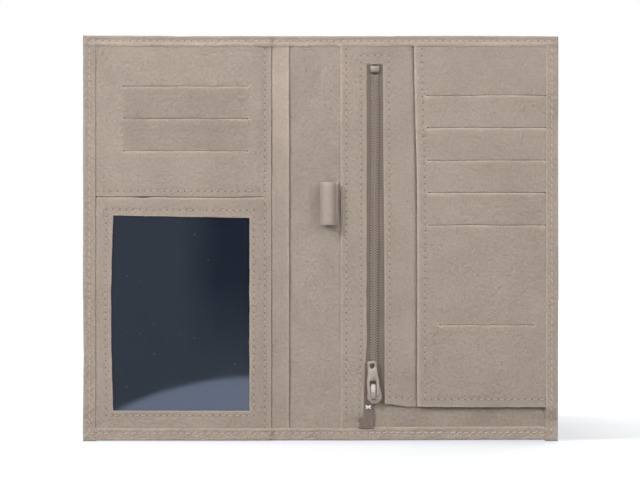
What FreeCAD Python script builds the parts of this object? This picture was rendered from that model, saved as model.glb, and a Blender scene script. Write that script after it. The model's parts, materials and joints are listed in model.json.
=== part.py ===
"""Long travel wallet, standing open and flat, as separate leather, lining, board, film and zip pieces.

Millimetres. X runs along the open width, +Z is up and the inside faces -Y. The origin is in the middle of the
spine's bottom edge, on the front face of the lining, because both fold lines lie in that plane. Layers behind
the fold plane have positive Y and layers in front of it have negative Y. "Left" and "right" are as seen from
the front.
"""

import FreeCAD
import Part

import os

Vector = FreeCAD.Vector

# ---- Overall size ----
HEIGHT = 215.0
HALF_WIDTH = 126.0  # middle of the spine to each fore edge
FOLD_X = 10.55  # fold lines, either side of the middle
HEM = 6.5  # width of the cover leather turned over the inside
EDGE_ROUND = 0.7  # rounding of the turned outer edge
FOLD_SLACK = 0.35  # gap behind the fold plane, so that each half can bend 8 degrees past flat
FOLD_FIT = 0.05

# ---- Thicknesses ----
COVER_T = 1.1
BOARD_T = 0.4
LINING_T = 0.6
HEM_T = 0.8
PANEL_T = 0.75
FABRIC_T = 0.15
FILM_T = 0.2
LINER_T = 0.1
LINER_FIT = 0.015  # gap between one card liner and the next on the right half

POCKET_T = 0.7  # slip sheet and zip panel
REAR_T = 0.5
TAPE_T = 0.4

# ---- Layers, as (front Y, back Y) ----
BACK_Y = LINING_T + BOARD_T + COVER_T
COVER_Y = (BACK_Y - COVER_T, BACK_Y)
BOARD_Y = (LINING_T, LINING_T + BOARD_T)
LINING_Y = (0.0, LINING_T)

MIDDLE_Y = -1.9  # back of the left front sheet, and of the leather round the zip
SLIP_Y = (-POCKET_T, 0.0)  # left half
BACKING_BACK = -1.15
BACKING_Y = (BACKING_BACK - FABRIC_T, BACKING_BACK)
FILM_Y = (MIDDLE_Y, MIDDLE_Y + FILM_T)
LEFT_PANEL_Y = (MIDDLE_Y - PANEL_T, MIDDLE_Y)

STRIP_Y = (-POCKET_T, 0.0)  # right half
REAR_Y = (-REAR_T, 0.0)
BAG_Y = (MIDDLE_Y, -REAR_T)
TAPE_Y = (MIDDLE_Y, MIDDLE_Y + TAPE_T)
ZIP_PANEL_Y = (MIDDLE_Y - POCKET_T, MIDDLE_Y)
CARD_BACK = -3.3
CARD_PANEL_Y = (CARD_BACK - PANEL_T, CARD_BACK)

SPINE_HEM_Y = (-HEM_T, 0.0)
SPINE_HEM_REACH = FOLD_X - 0.8  # half width of the spine's turned ends, clear of the strip when closed

# ---- Edges shared by the sheets held under the hem ----
SHEET_INSET = COVER_T + 0.1
SHEET_LOW = SHEET_INSET
SHEET_HIGH = HEIGHT - SHEET_INSET
SHEET_SIDE = HALF_WIDTH - SHEET_INSET

# ---- Left half ----
SLIP_EDGE_X = -16.6
LEFT_PANEL_EDGE_X = -26.2
LEFT_SLIT_X = (-104.2, -38.7)
LEFT_SLIT_TOP_Z = 188.3
LEFT_SLITS = 3
DOCUMENT_SLIT_X = (-119.0, -30.3)
DOCUMENT_SLIT_Z = 129.6
WINDOW_X = (-110.8, -37.7)
WINDOW_Z = (16.1, 119.6)
FILM_LAP = 4.4  # film sewn behind the frame, past the window's edge
BACKING_X = (-123.0, -31.0)
BACKING_Z = (3.0, 134.5)

# ---- Right half ----
REAR_EDGE_X = 25.6
FLAP_LOW_Z = 18.1  # bottom edge of the zip flap and of the card panel
CARD_EDGE_X = 51.4
CARD_EDGE_TOP_X = 49.7
CARD_EDGE_BEND_Z = 160.0
RIGHT_SLIT_X = (57.6, 119.4)
RIGHT_SLIT_TOP_Z = 183.4
RIGHT_SLITS = 5
ID_SLIT_X = (63.4, 113.1)
ID_SLIT_Z = 61.6
SLIT_PITCH = 17.2
SLIT_GAP = 0.5
PUNCH_R = 0.6  # round punched end of each slit
LINER_DEPTH = 72.0
LINER_LAP = 2.6
ID_LINER_DEPTH = 36.0

# ---- Zip ----
ZIP_X = 28.8
ZIP_OPENING_HALF = 4.2
ZIP_TOP_Z = 199.9
STRIP_LOW_X = 23.6  # the strip left of the zip narrows a little at the bottom
STRIP_LIFT_X = (16.0, 21.0)  # the strip rises from the lining to the zip here
STRIP_LIFT_Z = 22.0  # below this the strip lies flat on the lining
TAPE_GAP_HALF = 0.5
TAPE_WIDTH = 7.2
TAPE_Z = (16.0, 205.0)
TAIL_Y = (-0.5, -0.1)  # the left tape's end drops to the lining and runs on to the hem
COIL_HALF = 2.15
COIL_HEIGHT = 1.4
CHAIN_Z = (20.0, 195.3)
STOP_BOX_HALF = 2.5
STOP_BOX_Z = (195.4, 199.2)
STOP_BOX_T = 1.7
TOP_STOP_Z = (16.6, 19.3)
TOP_STOP_INNER = 0.6
TOP_STOP_WIDTH = 1.8
TOP_STOP_T = 0.9
BAG_LEFT_X = 26.1
BAG_RIGHT_X = 121.0
BAG_Z = (20.5, 206.0)

SLIDER_LOW_Z = 19.8
SLIDER_LENGTH = 9.5
SLIDER_HALF = 3.6
SLIDER_NOSE_HALF = 2.3
SLIDER_TAIL_HALF = 2.8
SLIDER_FRONT_Y = (-4.15, -3.4)
SLIDER_BACK_Y = (-1.4, -0.75)
SLIDER_LIP_Y = -2.0
SLIDER_WIDEST = (2.2, 4.2)  # the plates are widest between these heights above their lower end
SLIDER_TAIL_CUT = 0.6
SLIDER_WALL = 0.3  # side wall at the narrow upper end
DIVIDER_HALF = 0.4
DIVIDER_LENGTH = 2.4
BRIDGE_HALF = 0.9
BRIDGE_Z = (22.3, 29.0)
BRIDGE_TOP_Y = -5.9
BRIDGE_ROUND = 0.6
EYE_Y = (-5.2, -4.15)
EYE_Z = (23.5, 28.3)

PULL_AXIS_Z = 24.3
PULL_BAR_R = 0.45
PULL_T = 0.9
PULL_LENGTH = 19.9
PULL_EYE_HALF = 1.3
PULL_EYE_LENGTH = 8.1
PULL_HALF = 3.3
PULL_FOOT_CUT = (0.9, 2.0)  # the lower corners are cut by this much across and up
PULL_TIP_HALF = 2.4
PULL_TAPER = 5.5  # length of the straight part below the tip
PULL_TIP_CUT = 0.5
PULL_HOLE_R = 1.3
PULL_HOLE_FROM_TIP = 2.9

# ---- Front of the stack under the hem ----
# Across, as (distance from the middle, Y). At the fore edge, as (Z, Y).
STEP = 3.0  # the hem slopes up to each next layer over this distance
CARD_STEP = 4.0
STEP_FIT = 0.1
LEFT_STACK = [
    (FOLD_X, 0.0),
    (-SLIP_EDGE_X - STEP, 0.0),
    (-SLIP_EDGE_X - STEP_FIT, SLIP_Y[0]),
    (-LEFT_PANEL_EDGE_X - STEP, SLIP_Y[0]),
    (-LEFT_PANEL_EDGE_X - STEP_FIT, LEFT_PANEL_Y[0]),
    (HALF_WIDTH, LEFT_PANEL_Y[0]),
]
LEFT_FORE_STACK = [(0.0, LEFT_PANEL_Y[0]), (HEIGHT, LEFT_PANEL_Y[0])]
RIGHT_STACK = [
    (FOLD_X, STRIP_Y[0]),
    (STRIP_LIFT_X[0], STRIP_Y[0]),
    (STRIP_LIFT_X[1], ZIP_PANEL_Y[0]),
    (CARD_EDGE_TOP_X - CARD_STEP, ZIP_PANEL_Y[0]),
    (CARD_EDGE_TOP_X - STEP_FIT, CARD_PANEL_Y[0]),
    (HALF_WIDTH, CARD_PANEL_Y[0]),
]
RIGHT_FORE_STACK = [
    (0.0, STRIP_Y[0]),
    (HEM + 2.0, STRIP_Y[0]),
    (FLAP_LOW_Z, CARD_PANEL_Y[0]),
    (HEIGHT, CARD_PANEL_Y[0]),
]

# ---- Pen loop ----
LOOP_X = 4.1
LOOP_R = 4.5
LOOP_T = 0.8
LOOP_Z = (114.6, 137.3)
LOOP_FOOT_X = 9.3  # the loop's sewn foot stops here, clear of the strip when the wallet closes


def slab(x, y, z):
    """A box from three (low, high) pairs."""
    return Part.makeBox(x[1] - x[0], y[1] - y[0], z[1] - z[0], Vector(x[0], y[0], z[0]))


def sheet(outline, y):
    """A flat sheet: an XZ outline given the thickness between two Y planes."""
    points = [Vector(x, y[0], z) for x, z in outline]
    face = Part.Face(Part.makePolygon(points + points[:1]))
    return face.extrude(Vector(0, y[1] - y[0], 0))


def rod_y(x, z, radius, y):
    """A round rod along Y, used for punched holes."""
    return Part.makeCylinder(radius, y[1] - y[0], Vector(x, y[0], z), Vector(0, 1, 0))


def slit(x, z, y):
    """The cutting shape of one card slit: a narrow gap with a round punched hole at each end."""
    gap = slab(x, y, (z - SLIT_GAP / 2, z + SLIT_GAP / 2))
    return gap.fuse([rod_y(end, z, PUNCH_R, y) for end in x])


def widened(y, extra=0.5):
    """The same Y range with some overlap each way, for a clean cut."""
    return (y[0] - extra, y[1] + extra)


def slit_heights(top, count):
    return [top - SLIT_PITCH * i for i in range(count)]


# ---- Cover ----
def prism(points, direction):
    """Extrudes a closed polygon, given as vectors, along a vector."""
    return Part.Face(Part.makePolygon(points + points[:1])).extrude(direction)


def stack_solid(stack, fore_stack, front_shift, back_y, inset):
    """Everything between the back plane and the front of the stack, which changes along X and along Z."""
    end, low, high = HALF_WIDTH - inset, inset, HEIGHT - inset
    across = [(x, y + front_shift) for x, y in stack[:-1]] + [(end, stack[-1][1] + front_shift)]
    upright = [(z, y + front_shift) for z, y in fore_stack]
    upright[0], upright[-1] = (low, upright[0][1]), (high, upright[-1][1])
    plan = [Vector(x, y, low) for x, y in across] + [Vector(end, back_y, low), Vector(FOLD_X, back_y, low)]
    side = [Vector(FOLD_X, y, z) for z, y in upright]
    side += [Vector(FOLD_X, back_y, high), Vector(FOLD_X, back_y, low)]
    return prism(plan, Vector(0, 0, high - low)).common(prism(side, Vector(end - FOLD_X, 0, 0)))


def half_cover(side, stack, fore_stack):
    """One outer half: a back sheet whose leather turns over the top, the bottom and the fore edge.

    Built for the right half and mirrored for the left (side -1)."""
    outer = stack_solid(stack, fore_stack, -HEM_T, BACK_Y, 0.0)
    back_edges = [
        edge
        for edge in outer.Edges
        if all(abs(v.Y - BACK_Y) < 1e-6 for v in edge.Vertexes)
        and not all(abs(v.X - FOLD_X) < 1e-6 for v in edge.Vertexes)
    ]
    outer = outer.makeFillet(EDGE_ROUND, back_edges)
    cavity = stack_solid(stack, fore_stack, 0.0, COVER_Y[0], COVER_T)
    mouth = slab((0, HALF_WIDTH - HEM), (-HALF_WIDTH, COVER_Y[0]), (HEM, HEIGHT - HEM))
    relief = slab((0, FOLD_X + HEM_T + 0.1), (-HALF_WIDTH, 0), (-1, HEIGHT + 1))
    cover = outer.cut([cavity, mouth, relief])
    return cover if side > 0 else cover.mirror(Vector(0, 0, 0), Vector(1, 0, 0))


def cover_right():
    return half_cover(1, RIGHT_STACK, RIGHT_FORE_STACK)


def cover_left():
    return half_cover(-1, LEFT_STACK, LEFT_FORE_STACK)


def cover_spine():
    """The strip of cover between the folds, with its turned ends."""
    reach = FOLD_X - FOLD_SLACK
    back = slab((-reach, reach), COVER_Y, (0, HEIGHT))
    pieces = []
    for z_end, z_hem in ((0, 0), (HEIGHT - COVER_T, HEIGHT - HEM)):
        turn = slab((-reach, reach), (0.0, COVER_Y[0]), (z_end, z_end + COVER_T))
        lip = slab((-SPINE_HEM_REACH, SPINE_HEM_REACH), SPINE_HEM_Y, (z_hem, z_hem + HEM))
        pieces += [turn, lip]
    return back.fuse(pieces).removeSplitter()


def board(side):
    """Stiffening board between the cover and the lining of one half."""
    x = sorted((side * (FOLD_X + 2.0), side * SHEET_SIDE))
    return slab(x, BOARD_Y, (SHEET_LOW, SHEET_HIGH))


def lining(side):
    x = sorted((side * (FOLD_X + FOLD_FIT), side * SHEET_SIDE))
    return slab(x, LINING_Y, (SHEET_LOW, SHEET_HIGH))


def lining_spine():
    reach = FOLD_X - FOLD_SLACK
    return slab((-reach, reach), LINING_Y, (SHEET_LOW, SHEET_HIGH))


# ---- Left half ----
def slip_panel():
    """Full-height document pocket sheet, open at its spine edge."""
    return slab((-SHEET_SIDE, SLIP_EDGE_X), SLIP_Y, (SHEET_LOW, SHEET_HIGH))


def window_card_panel():
    """Front sheet of the left half: three card slits, the document pocket's slit and the window."""
    panel = slab((-SHEET_SIDE, LEFT_PANEL_EDGE_X), LEFT_PANEL_Y, (SHEET_LOW, SHEET_HIGH))
    through = widened(LEFT_PANEL_Y)
    cuts = [slit(LEFT_SLIT_X, z, through) for z in slit_heights(LEFT_SLIT_TOP_Z, LEFT_SLITS)]
    cuts.append(slit(DOCUMENT_SLIT_X, DOCUMENT_SLIT_Z, through))
    cuts.append(slab(WINDOW_X, through, WINDOW_Z))
    return panel.cut(cuts)


def window_film():
    x = (WINDOW_X[0] - FILM_LAP, WINDOW_X[1] + FILM_LAP)
    z = (WINDOW_Z[0] - FILM_LAP, WINDOW_Z[1] + FILM_LAP)
    return slab(x, FILM_Y, z)


def window_backing():
    """Dark lining behind the window, which closes the back of the document pocket."""
    return slab(BACKING_X, BACKING_Y, BACKING_Z)


def left_card_liner(index):
    """Fabric behind one left card slit. Each lower liner lies one layer further forward."""
    z = slit_heights(LEFT_SLIT_TOP_Z, LEFT_SLITS)[index] + LINER_LAP
    back = SLIP_Y[0] - FABRIC_T * index
    x = (LEFT_SLIT_X[0] - LINER_LAP, LEFT_SLIT_X[1] + LINER_LAP)
    return slab(x, (back - LINER_T, back), (z - LINER_DEPTH, z))


# ---- Right half ----
def rear_pocket_panel():
    """Full-height pocket sheet behind the zip flap."""
    return slab((REAR_EDGE_X, SHEET_SIDE), REAR_Y, (SHEET_LOW, SHEET_HIGH))


def zip_panel():
    """One leather sheet around the zip: a long strip on its left and a shorter flap on its right."""
    front, back = ZIP_PANEL_Y
    low_x, high_x = STRIP_LIFT_X
    start_x = FOLD_X + FOLD_FIT
    profile = [
        (start_x, STRIP_Y[1]),
        (low_x, STRIP_Y[1]),
        (high_x, back),
        (SHEET_SIDE, back),
        (SHEET_SIDE, front),
        (high_x, front),
        (low_x, STRIP_Y[0]),
        (start_x, STRIP_Y[0]),
    ]
    raised = prism(
        [Vector(x, y, STRIP_LIFT_Z) for x, y in profile], Vector(0, 0, SHEET_HIGH - STRIP_LIFT_Z)
    )
    flap_end = slab((ZIP_X, SHEET_SIDE), ZIP_PANEL_Y, (FLAP_LOW_Z, STRIP_LIFT_Z))
    strip_end = slab((start_x, ZIP_X), STRIP_Y, (SHEET_LOW, STRIP_LIFT_Z))
    opening = [
        (STRIP_LOW_X, 0),
        (ZIP_X - ZIP_OPENING_HALF, FLAP_LOW_Z + 40),
        (ZIP_X - ZIP_OPENING_HALF, ZIP_TOP_Z),
        (ZIP_X + ZIP_OPENING_HALF, ZIP_TOP_Z),
        (ZIP_X + ZIP_OPENING_HALF, 0),
    ]
    panel = raised.fuse([flap_end, strip_end]).removeSplitter()
    return panel.cut(sheet(opening, (front - 1, 1)))


def zip_tape(side):
    """One woven tape. The left one ends in a narrow tail beside the rear pocket's edge."""
    x = sorted((ZIP_X + side * TAPE_GAP_HALF, ZIP_X + side * (TAPE_GAP_HALF + TAPE_WIDTH)))
    tape = slab(x, TAPE_Y, TAPE_Z)
    if side > 0:
        return tape
    tail_x = (STRIP_LOW_X + 0.4, REAR_EDGE_X - 0.1)
    tail_high = TAPE_Z[0] + TAPE_Y[1] - TAPE_Y[0]
    drop = slab(tail_x, (TAPE_Y[0], TAIL_Y[1]), (TAPE_Z[0], tail_high))
    tail = slab(tail_x, TAIL_Y, (HEM + 0.2, tail_high))
    return tape.fuse([drop, tail]).removeSplitter()


def zip_coil(side):
    """One half of the closed chain, with room along the middle for the slider's divider."""
    x = sorted((ZIP_X + side * TAPE_GAP_HALF, ZIP_X + side * COIL_HALF))
    coil = slab(x, (TAPE_Y[0] - COIL_HEIGHT, TAPE_Y[0]), CHAIN_Z)
    outer = [
        edge
        for edge in coil.Edges
        if all(abs(v.Y - TAPE_Y[0] + COIL_HEIGHT) < 1e-6 for v in edge.Vertexes)
        and all(abs(abs(v.X - ZIP_X) - COIL_HALF) < 1e-6 for v in edge.Vertexes)
    ]
    return coil.makeFillet(COIL_HEIGHT / 2, outer)


def zip_bottom_stop():
    """Metal box that joins both coils where the chain starts, at the top of the wallet."""
    x = (ZIP_X - STOP_BOX_HALF, ZIP_X + STOP_BOX_HALF)
    box = slab(x, (TAPE_Y[0] - STOP_BOX_T, TAPE_Y[0]), STOP_BOX_Z)
    front = [e for e in box.Edges if all(abs(v.Y - TAPE_Y[0] + STOP_BOX_T) < 1e-6 for v in e.Vertexes)]
    return box.makeFillet(0.5, front)


def zip_top_stops():
    """Two metal clips on the inner tape edges, which stop the slider at the closed end."""
    clips = []
    for side in (-1, 1):
        x = sorted((ZIP_X + side * TOP_STOP_INNER, ZIP_X + side * (TOP_STOP_INNER + TOP_STOP_WIDTH)))
        clip = slab(x, (TAPE_Y[0] - TOP_STOP_T, TAPE_Y[0]), TOP_STOP_Z)
        front = [e for e in clip.Edges if all(abs(v.Y - TAPE_Y[0] + TOP_STOP_T) < 1e-6 for v in e.Vertexes)]
        clips.append(clip.makeFillet(0.3, front))
    return Part.makeCompound(clips)


def zip_bag():
    """Thin lining bag of the zip compartment, open towards the zip."""
    front_edge = ZIP_X + TAPE_GAP_HALF + TAPE_WIDTH + 0.2
    outer = slab((BAG_LEFT_X, BAG_RIGHT_X), BAG_Y, BAG_Z)
    inner = slab(
        (BAG_LEFT_X - 1, BAG_RIGHT_X - FABRIC_T),
        (BAG_Y[0] + FABRIC_T, BAG_Y[1] - FABRIC_T),
        (BAG_Z[0] + FABRIC_T, BAG_Z[1] - FABRIC_T),
    )
    mouth = slab((BAG_LEFT_X - 1, front_edge), (BAG_Y[0] - 1, BAG_Y[1] - FABRIC_T), (0, HEIGHT))
    return outer.cut([inner, mouth])


def card_panel():
    """Front sheet of the right half: five card slits and a lower identity-card slit."""
    outline = [
        (CARD_EDGE_X, FLAP_LOW_Z),
        (SHEET_SIDE, FLAP_LOW_Z),
        (SHEET_SIDE, SHEET_HIGH),
        (CARD_EDGE_TOP_X, SHEET_HIGH),
        (CARD_EDGE_X, CARD_EDGE_BEND_Z),
    ]
    through = widened(CARD_PANEL_Y)
    cuts = [slit(RIGHT_SLIT_X, z, through) for z in slit_heights(RIGHT_SLIT_TOP_Z, RIGHT_SLITS)]
    cuts.append(slit(ID_SLIT_X, ID_SLIT_Z, through))
    return sheet(outline, CARD_PANEL_Y).cut(cuts)


def right_liner(level, x_range, z_top, depth):
    back = ZIP_PANEL_Y[0] - (LINER_T + LINER_FIT) * level
    x = (x_range[0] - LINER_LAP, x_range[1] + LINER_LAP)
    return slab(x, (back - LINER_T, back), (z_top + LINER_LAP - depth, z_top + LINER_LAP))


def right_card_liner(index):
    z = slit_heights(RIGHT_SLIT_TOP_Z, RIGHT_SLITS)[index]
    return right_liner(index, RIGHT_SLIT_X, z, LINER_DEPTH)


def id_card_liner():
    return right_liner(RIGHT_SLITS, ID_SLIT_X, ID_SLIT_Z, ID_LINER_DEPTH)


# ---- Slider and pull ----
def slider_outline():
    """XZ outline of the slider's plates: wide at the lower nose, narrow at the upper tail."""
    low, high = SLIDER_LOW_Z, SLIDER_LOW_Z + SLIDER_LENGTH
    right = [
        (SLIDER_NOSE_HALF, low),
        (SLIDER_HALF, low + SLIDER_WIDEST[0]),
        (SLIDER_HALF, low + SLIDER_WIDEST[1]),
        (SLIDER_TAIL_HALF, high - SLIDER_TAIL_CUT),
        (SLIDER_TAIL_HALF - SLIDER_TAIL_CUT, high),
    ]
    left = [(-x, z) for x, z in reversed(right)]
    return [(ZIP_X + x, z) for x, z in right + left]


def slider_body():
    """Two plates joined by the divider, with side lips around the coil and a bridge for the pull."""
    outline = slider_outline()
    front = sheet(outline, SLIDER_FRONT_Y)
    back = sheet(outline, SLIDER_BACK_Y)
    lip_y = (SLIDER_FRONT_Y[1], SLIDER_LIP_Y)
    channel = SLIDER_TAIL_HALF - SLIDER_WALL
    core = slab((ZIP_X - channel, ZIP_X + channel), lip_y, (0, HEIGHT))
    throat_x = (ZIP_X - SLIDER_HALF - 1, ZIP_X + SLIDER_HALF + 1)
    throat = slab(throat_x, lip_y, (0, SLIDER_LOW_Z + SLIDER_WIDEST[0]))
    lips = sheet(outline, lip_y).cut([core, throat])
    divider = slab(
        (ZIP_X - DIVIDER_HALF, ZIP_X + DIVIDER_HALF),
        (SLIDER_FRONT_Y[1], SLIDER_BACK_Y[0]),
        (SLIDER_LOW_Z, SLIDER_LOW_Z + DIVIDER_LENGTH),
    )
    bridge = slab((ZIP_X - BRIDGE_HALF, ZIP_X + BRIDGE_HALF), (BRIDGE_TOP_Y, SLIDER_FRONT_Y[0]), BRIDGE_Z)
    eye = slab((ZIP_X - 2, ZIP_X + 2), EYE_Y, EYE_Z)
    top_edges = [
        e
        for e in bridge.Edges
        if all(abs(v.Y - BRIDGE_TOP_Y) < 1e-6 for v in e.Vertexes)
        and len({round(v.X, 4) for v in e.Vertexes}) == 2
    ]
    bridge = bridge.makeFillet(BRIDGE_ROUND, top_edges).cut(eye)
    return front.fuse([back, lips, divider, bridge]).removeSplitter()


def pull_tab():
    """Flat pull with an eye round the bridge, a round bar in the bridge and a hole near the tip."""
    axis_y = (EYE_Y[0] + EYE_Y[1]) / 2
    y = (axis_y - PULL_T / 2, axis_y + PULL_T / 2)
    tip = PULL_AXIS_Z + PULL_LENGTH
    eye_top = PULL_AXIS_Z + PULL_EYE_LENGTH
    foot_half = PULL_HALF - PULL_FOOT_CUT[0]
    right = [
        (foot_half, PULL_AXIS_Z),
        (PULL_HALF, PULL_AXIS_Z + PULL_FOOT_CUT[1]),
        (PULL_HALF, eye_top),
        (PULL_TIP_HALF, tip - PULL_TAPER),
        (PULL_TIP_HALF, tip - PULL_TIP_CUT),
        (PULL_TIP_HALF - PULL_TIP_CUT, tip),
    ]
    outline = right + [(-x, z) for x, z in reversed(right)]
    plate = sheet([(ZIP_X + x, z) for x, z in outline], y)
    eye = slab((ZIP_X - PULL_EYE_HALF, ZIP_X + PULL_EYE_HALF), widened(y), (PULL_AXIS_Z - 1, eye_top))
    hole = rod_y(ZIP_X, tip - PULL_HOLE_FROM_TIP, PULL_HOLE_R, widened(y))
    bar = Part.makeCylinder(
        PULL_BAR_R,
        2 * foot_half,
        Vector(ZIP_X - foot_half, axis_y, PULL_AXIS_Z),
        Vector(1, 0, 0),
    )
    return plate.cut([eye, hole]).fuse(bar).removeSplitter()


# ---- Pen loop ----
def pen_loop():
    """A leather tube for a pen, with its flat foot sewn to the spine's lining."""
    height = LOOP_Z[1] - LOOP_Z[0]
    base = Vector(LOOP_X, -LOOP_R, LOOP_Z[0])
    tube = Part.makeCylinder(LOOP_R, height, base)
    bore = Part.makeCylinder(LOOP_R - LOOP_T, height + 2, base - Vector(0, 0, 1))
    foot = slab((LOOP_X, LOOP_FOOT_X), (-LOOP_T, 0), LOOP_Z)
    return tube.fuse(foot).cut(bore).removeSplitter()


PARTS = {
    "cover_left": cover_left,
    "board_left": lambda: board(-1),
    "lining_left": lambda: lining(-1),
    "slip_panel": slip_panel,
    "window_backing": window_backing,
    "window_film": window_film,
    "window_card_panel": window_card_panel,
    "cover_spine": cover_spine,
    "lining_spine": lining_spine,
    "pen_loop": pen_loop,
    "cover_right": cover_right,
    "board_right": lambda: board(1),
    "lining_right": lambda: lining(1),
    "rear_pocket_panel": rear_pocket_panel,
    "zip_bag": zip_bag,
    "zip_tape_left": lambda: zip_tape(-1),
    "zip_tape_right": lambda: zip_tape(1),
    "zip_coil_left": lambda: zip_coil(-1),
    "zip_coil_right": lambda: zip_coil(1),
    "zip_bottom_stop": zip_bottom_stop,
    "zip_top_stops": zip_top_stops,
    "zip_panel": zip_panel,
    "id_card_liner": id_card_liner,
    "card_panel": card_panel,
    "slider_body": slider_body,
    "pull_tab": pull_tab,
}
for number in range(LEFT_SLITS):
    PARTS[f"left_card_liner_{number + 1}"] = lambda number=number: left_card_liner(number)
for number in range(RIGHT_SLITS):
    PARTS[f"right_card_liner_{number + 1}"] = lambda number=number: right_card_liner(number)

os.makedirs("parts", exist_ok=True)
for name, build in PARTS.items():
    shape = build()
    assert shape.isValid() and all(s.isClosed() for s in shape.Solids), name
    shape.exportStep(f"parts/{name}.step")
    print(name, len(shape.Solids), round(shape.Volume, 1))
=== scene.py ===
import json
import math

import bmesh
import bpy
import numpy as np
from mathutils import Matrix, Vector


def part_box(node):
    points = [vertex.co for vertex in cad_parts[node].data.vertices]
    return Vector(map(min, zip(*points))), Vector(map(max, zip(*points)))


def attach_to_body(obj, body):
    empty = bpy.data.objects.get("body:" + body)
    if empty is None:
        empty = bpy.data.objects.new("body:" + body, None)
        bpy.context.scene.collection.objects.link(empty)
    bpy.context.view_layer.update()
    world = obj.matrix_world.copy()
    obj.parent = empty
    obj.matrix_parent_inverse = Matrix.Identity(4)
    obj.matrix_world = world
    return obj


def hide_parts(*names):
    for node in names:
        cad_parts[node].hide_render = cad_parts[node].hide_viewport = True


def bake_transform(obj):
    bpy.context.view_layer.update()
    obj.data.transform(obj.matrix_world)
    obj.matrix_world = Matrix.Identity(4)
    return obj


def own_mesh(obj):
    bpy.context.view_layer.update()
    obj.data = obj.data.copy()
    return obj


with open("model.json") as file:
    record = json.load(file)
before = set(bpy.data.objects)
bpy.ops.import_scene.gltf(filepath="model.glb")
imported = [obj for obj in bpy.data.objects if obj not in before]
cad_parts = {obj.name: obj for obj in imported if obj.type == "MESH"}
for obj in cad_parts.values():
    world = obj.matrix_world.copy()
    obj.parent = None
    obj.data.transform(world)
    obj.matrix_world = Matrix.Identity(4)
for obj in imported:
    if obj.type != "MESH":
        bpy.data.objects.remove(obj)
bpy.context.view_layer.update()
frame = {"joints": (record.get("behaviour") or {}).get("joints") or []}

# Everything below is in millimetres until a mesh is made.
MM = 0.001

# ---- Sizes shared with the design ----
HEM = 6.5
TOP_HEM = 5.7  # the hem along the top edge is a little narrower
HEM_T = 0.45
STITCH_IN = 3.4  # stitch row from the outer edge
STITCH_PITCH = 3.6
SLIT_GAP = 0.2
PUNCH_R = 0.42
LIP_R = 0.45  # a slit's lower lip is rounded off by cards
# how much lighter a slit's lower lip is: wear from cards plus a painted highlight on its rounded top
LIP_WEAR_AND_HIGHLIGHT = 1.7
LIP_LIFT = 0.45  # a slit's lower lip stands out by about this much
LINER_LAP = 2.6  # each liner reaches this far past its slit
FILM_LAP = 4.4  # the film reaches this far past the window
ZIP_HALF = 4.2  # half width of the opening round the zip
COVER_T, ZIP_PANEL_T, PANEL_T, SLIP_T, LINING_T, REAR_T = 1.0, 0.85, 0.75, 0.6, 0.5, 0.4  # leathers
EDGE_FLARE = (0, 0.3)  # how far a sheet's dark raw back shows past its left and right edge, as a painted shadow line along that edge


def span(node):
    """A node's (low, high) along X, Y and Z, in millimetres."""
    low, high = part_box(node)
    return [(low[axis] / MM, high[axis] / MM) for axis in range(3)]


COVER = span("cover_right")
HALF_WIDTH = COVER[0][1]
HEIGHT = COVER[2][1]
BACK_Y = COVER[1][1]
FOLD_X = max(abs(joint["pos_m"][0]) for joint in frame["joints"] if joint["name"] == "right_fold") / MM
SLIP = span("slip_panel")
LEFT_PANEL = span("window_card_panel")
FILM = span("window_film")
REAR = span("rear_pocket_panel")
ZIP_PANEL = span("zip_panel")
CARD_PANEL = span("card_panel")
COIL = [span("zip_coil_left"), span("zip_coil_right")]
TAPE = [span("zip_tape_left"), span("zip_tape_right")]
LOOP = span("pen_loop")
ZIP_X = (COIL[0][0][1] + COIL[1][0][0]) / 2
FLAP_LOW_Z = CARD_PANEL[2][0]
STRIP_H = 0.7
FLAP_H = 2.6
CARD_H = -CARD_PANEL[1][0]
LEFT_H = -LEFT_PANEL[1][0]
SLIP_H = -SLIP[1][0]
REAR_H = -REAR[1][0]

# ---- Numeric helpers ----
WAVES = 7


def smooth(value, start, end):
    """0 before start, 1 after end, with a soft turn at both."""
    t = np.clip((value - start) / (end - start), 0, 1)
    return t * t * (3 - 2 * t)


def falloff(distance, reach):
    """1 at no distance, dying away over about this reach."""
    return np.exp(-distance / reach)


def hump(offset, width):
    """1 in the middle, dying away on both sides over about this width."""
    return np.exp(-((offset / width) ** 2))


def ripple(x, z, seed, wavelength, stretch=1.0):
    """Gentle unevenness between about -1 and 1. A stretch over 1 makes the waves lie flat."""
    rng = np.random.RandomState(seed)
    total = np.zeros(np.broadcast(x, z).shape)
    for _ in range(WAVES):
        angle, phase = rng.uniform(0, math.tau, 2)
        k = math.tau / (wavelength * rng.uniform(0.7, 1.7))
        total += np.sin(k * (x * math.cos(angle) / stretch + z * math.sin(angle) * stretch) + phase)
    return total / math.sqrt(2 * WAVES)


def outside(x, z, rect):
    """Distance from points to a rectangle (x0, x1, z0, z1), negative inside it."""
    dx = np.maximum(rect[0] - x, x - rect[1])
    dz = np.maximum(rect[2] - z, z - rect[3])
    return np.hypot(np.maximum(dx, 0), np.maximum(dz, 0)) + np.minimum(np.maximum(dx, dz), 0)


def segment_distance(x, z, row):
    """Distance from points to a straight stitch row ((xa, za), (xb, zb))."""
    (xa, za), (xb, zb) = row
    length = math.hypot(xb - xa, zb - za)
    ux, uz = (xb - xa) / length, (zb - za) / length
    t = np.clip((x - xa) * ux + (z - za) * uz, 0, length)
    return np.hypot(x - xa - t * ux, z - za - t * uz)


def rounding(distance, radius):
    """How far a surface falls back at this distance from a rounded edge."""
    inside = np.clip(radius - distance, 0, radius)
    return radius - np.sqrt(np.maximum(radius**2 - inside**2, 0))


FINE = (0.12, 0.3, 0.6, 1.1)
RAW_EDGE_AND_SHADE = -1.0  # the value of the flesh side and the cut edges, which are darker; where a flared back shows past an edge, and where a sheet's value drops below zero, this darkening is painted shade


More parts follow.
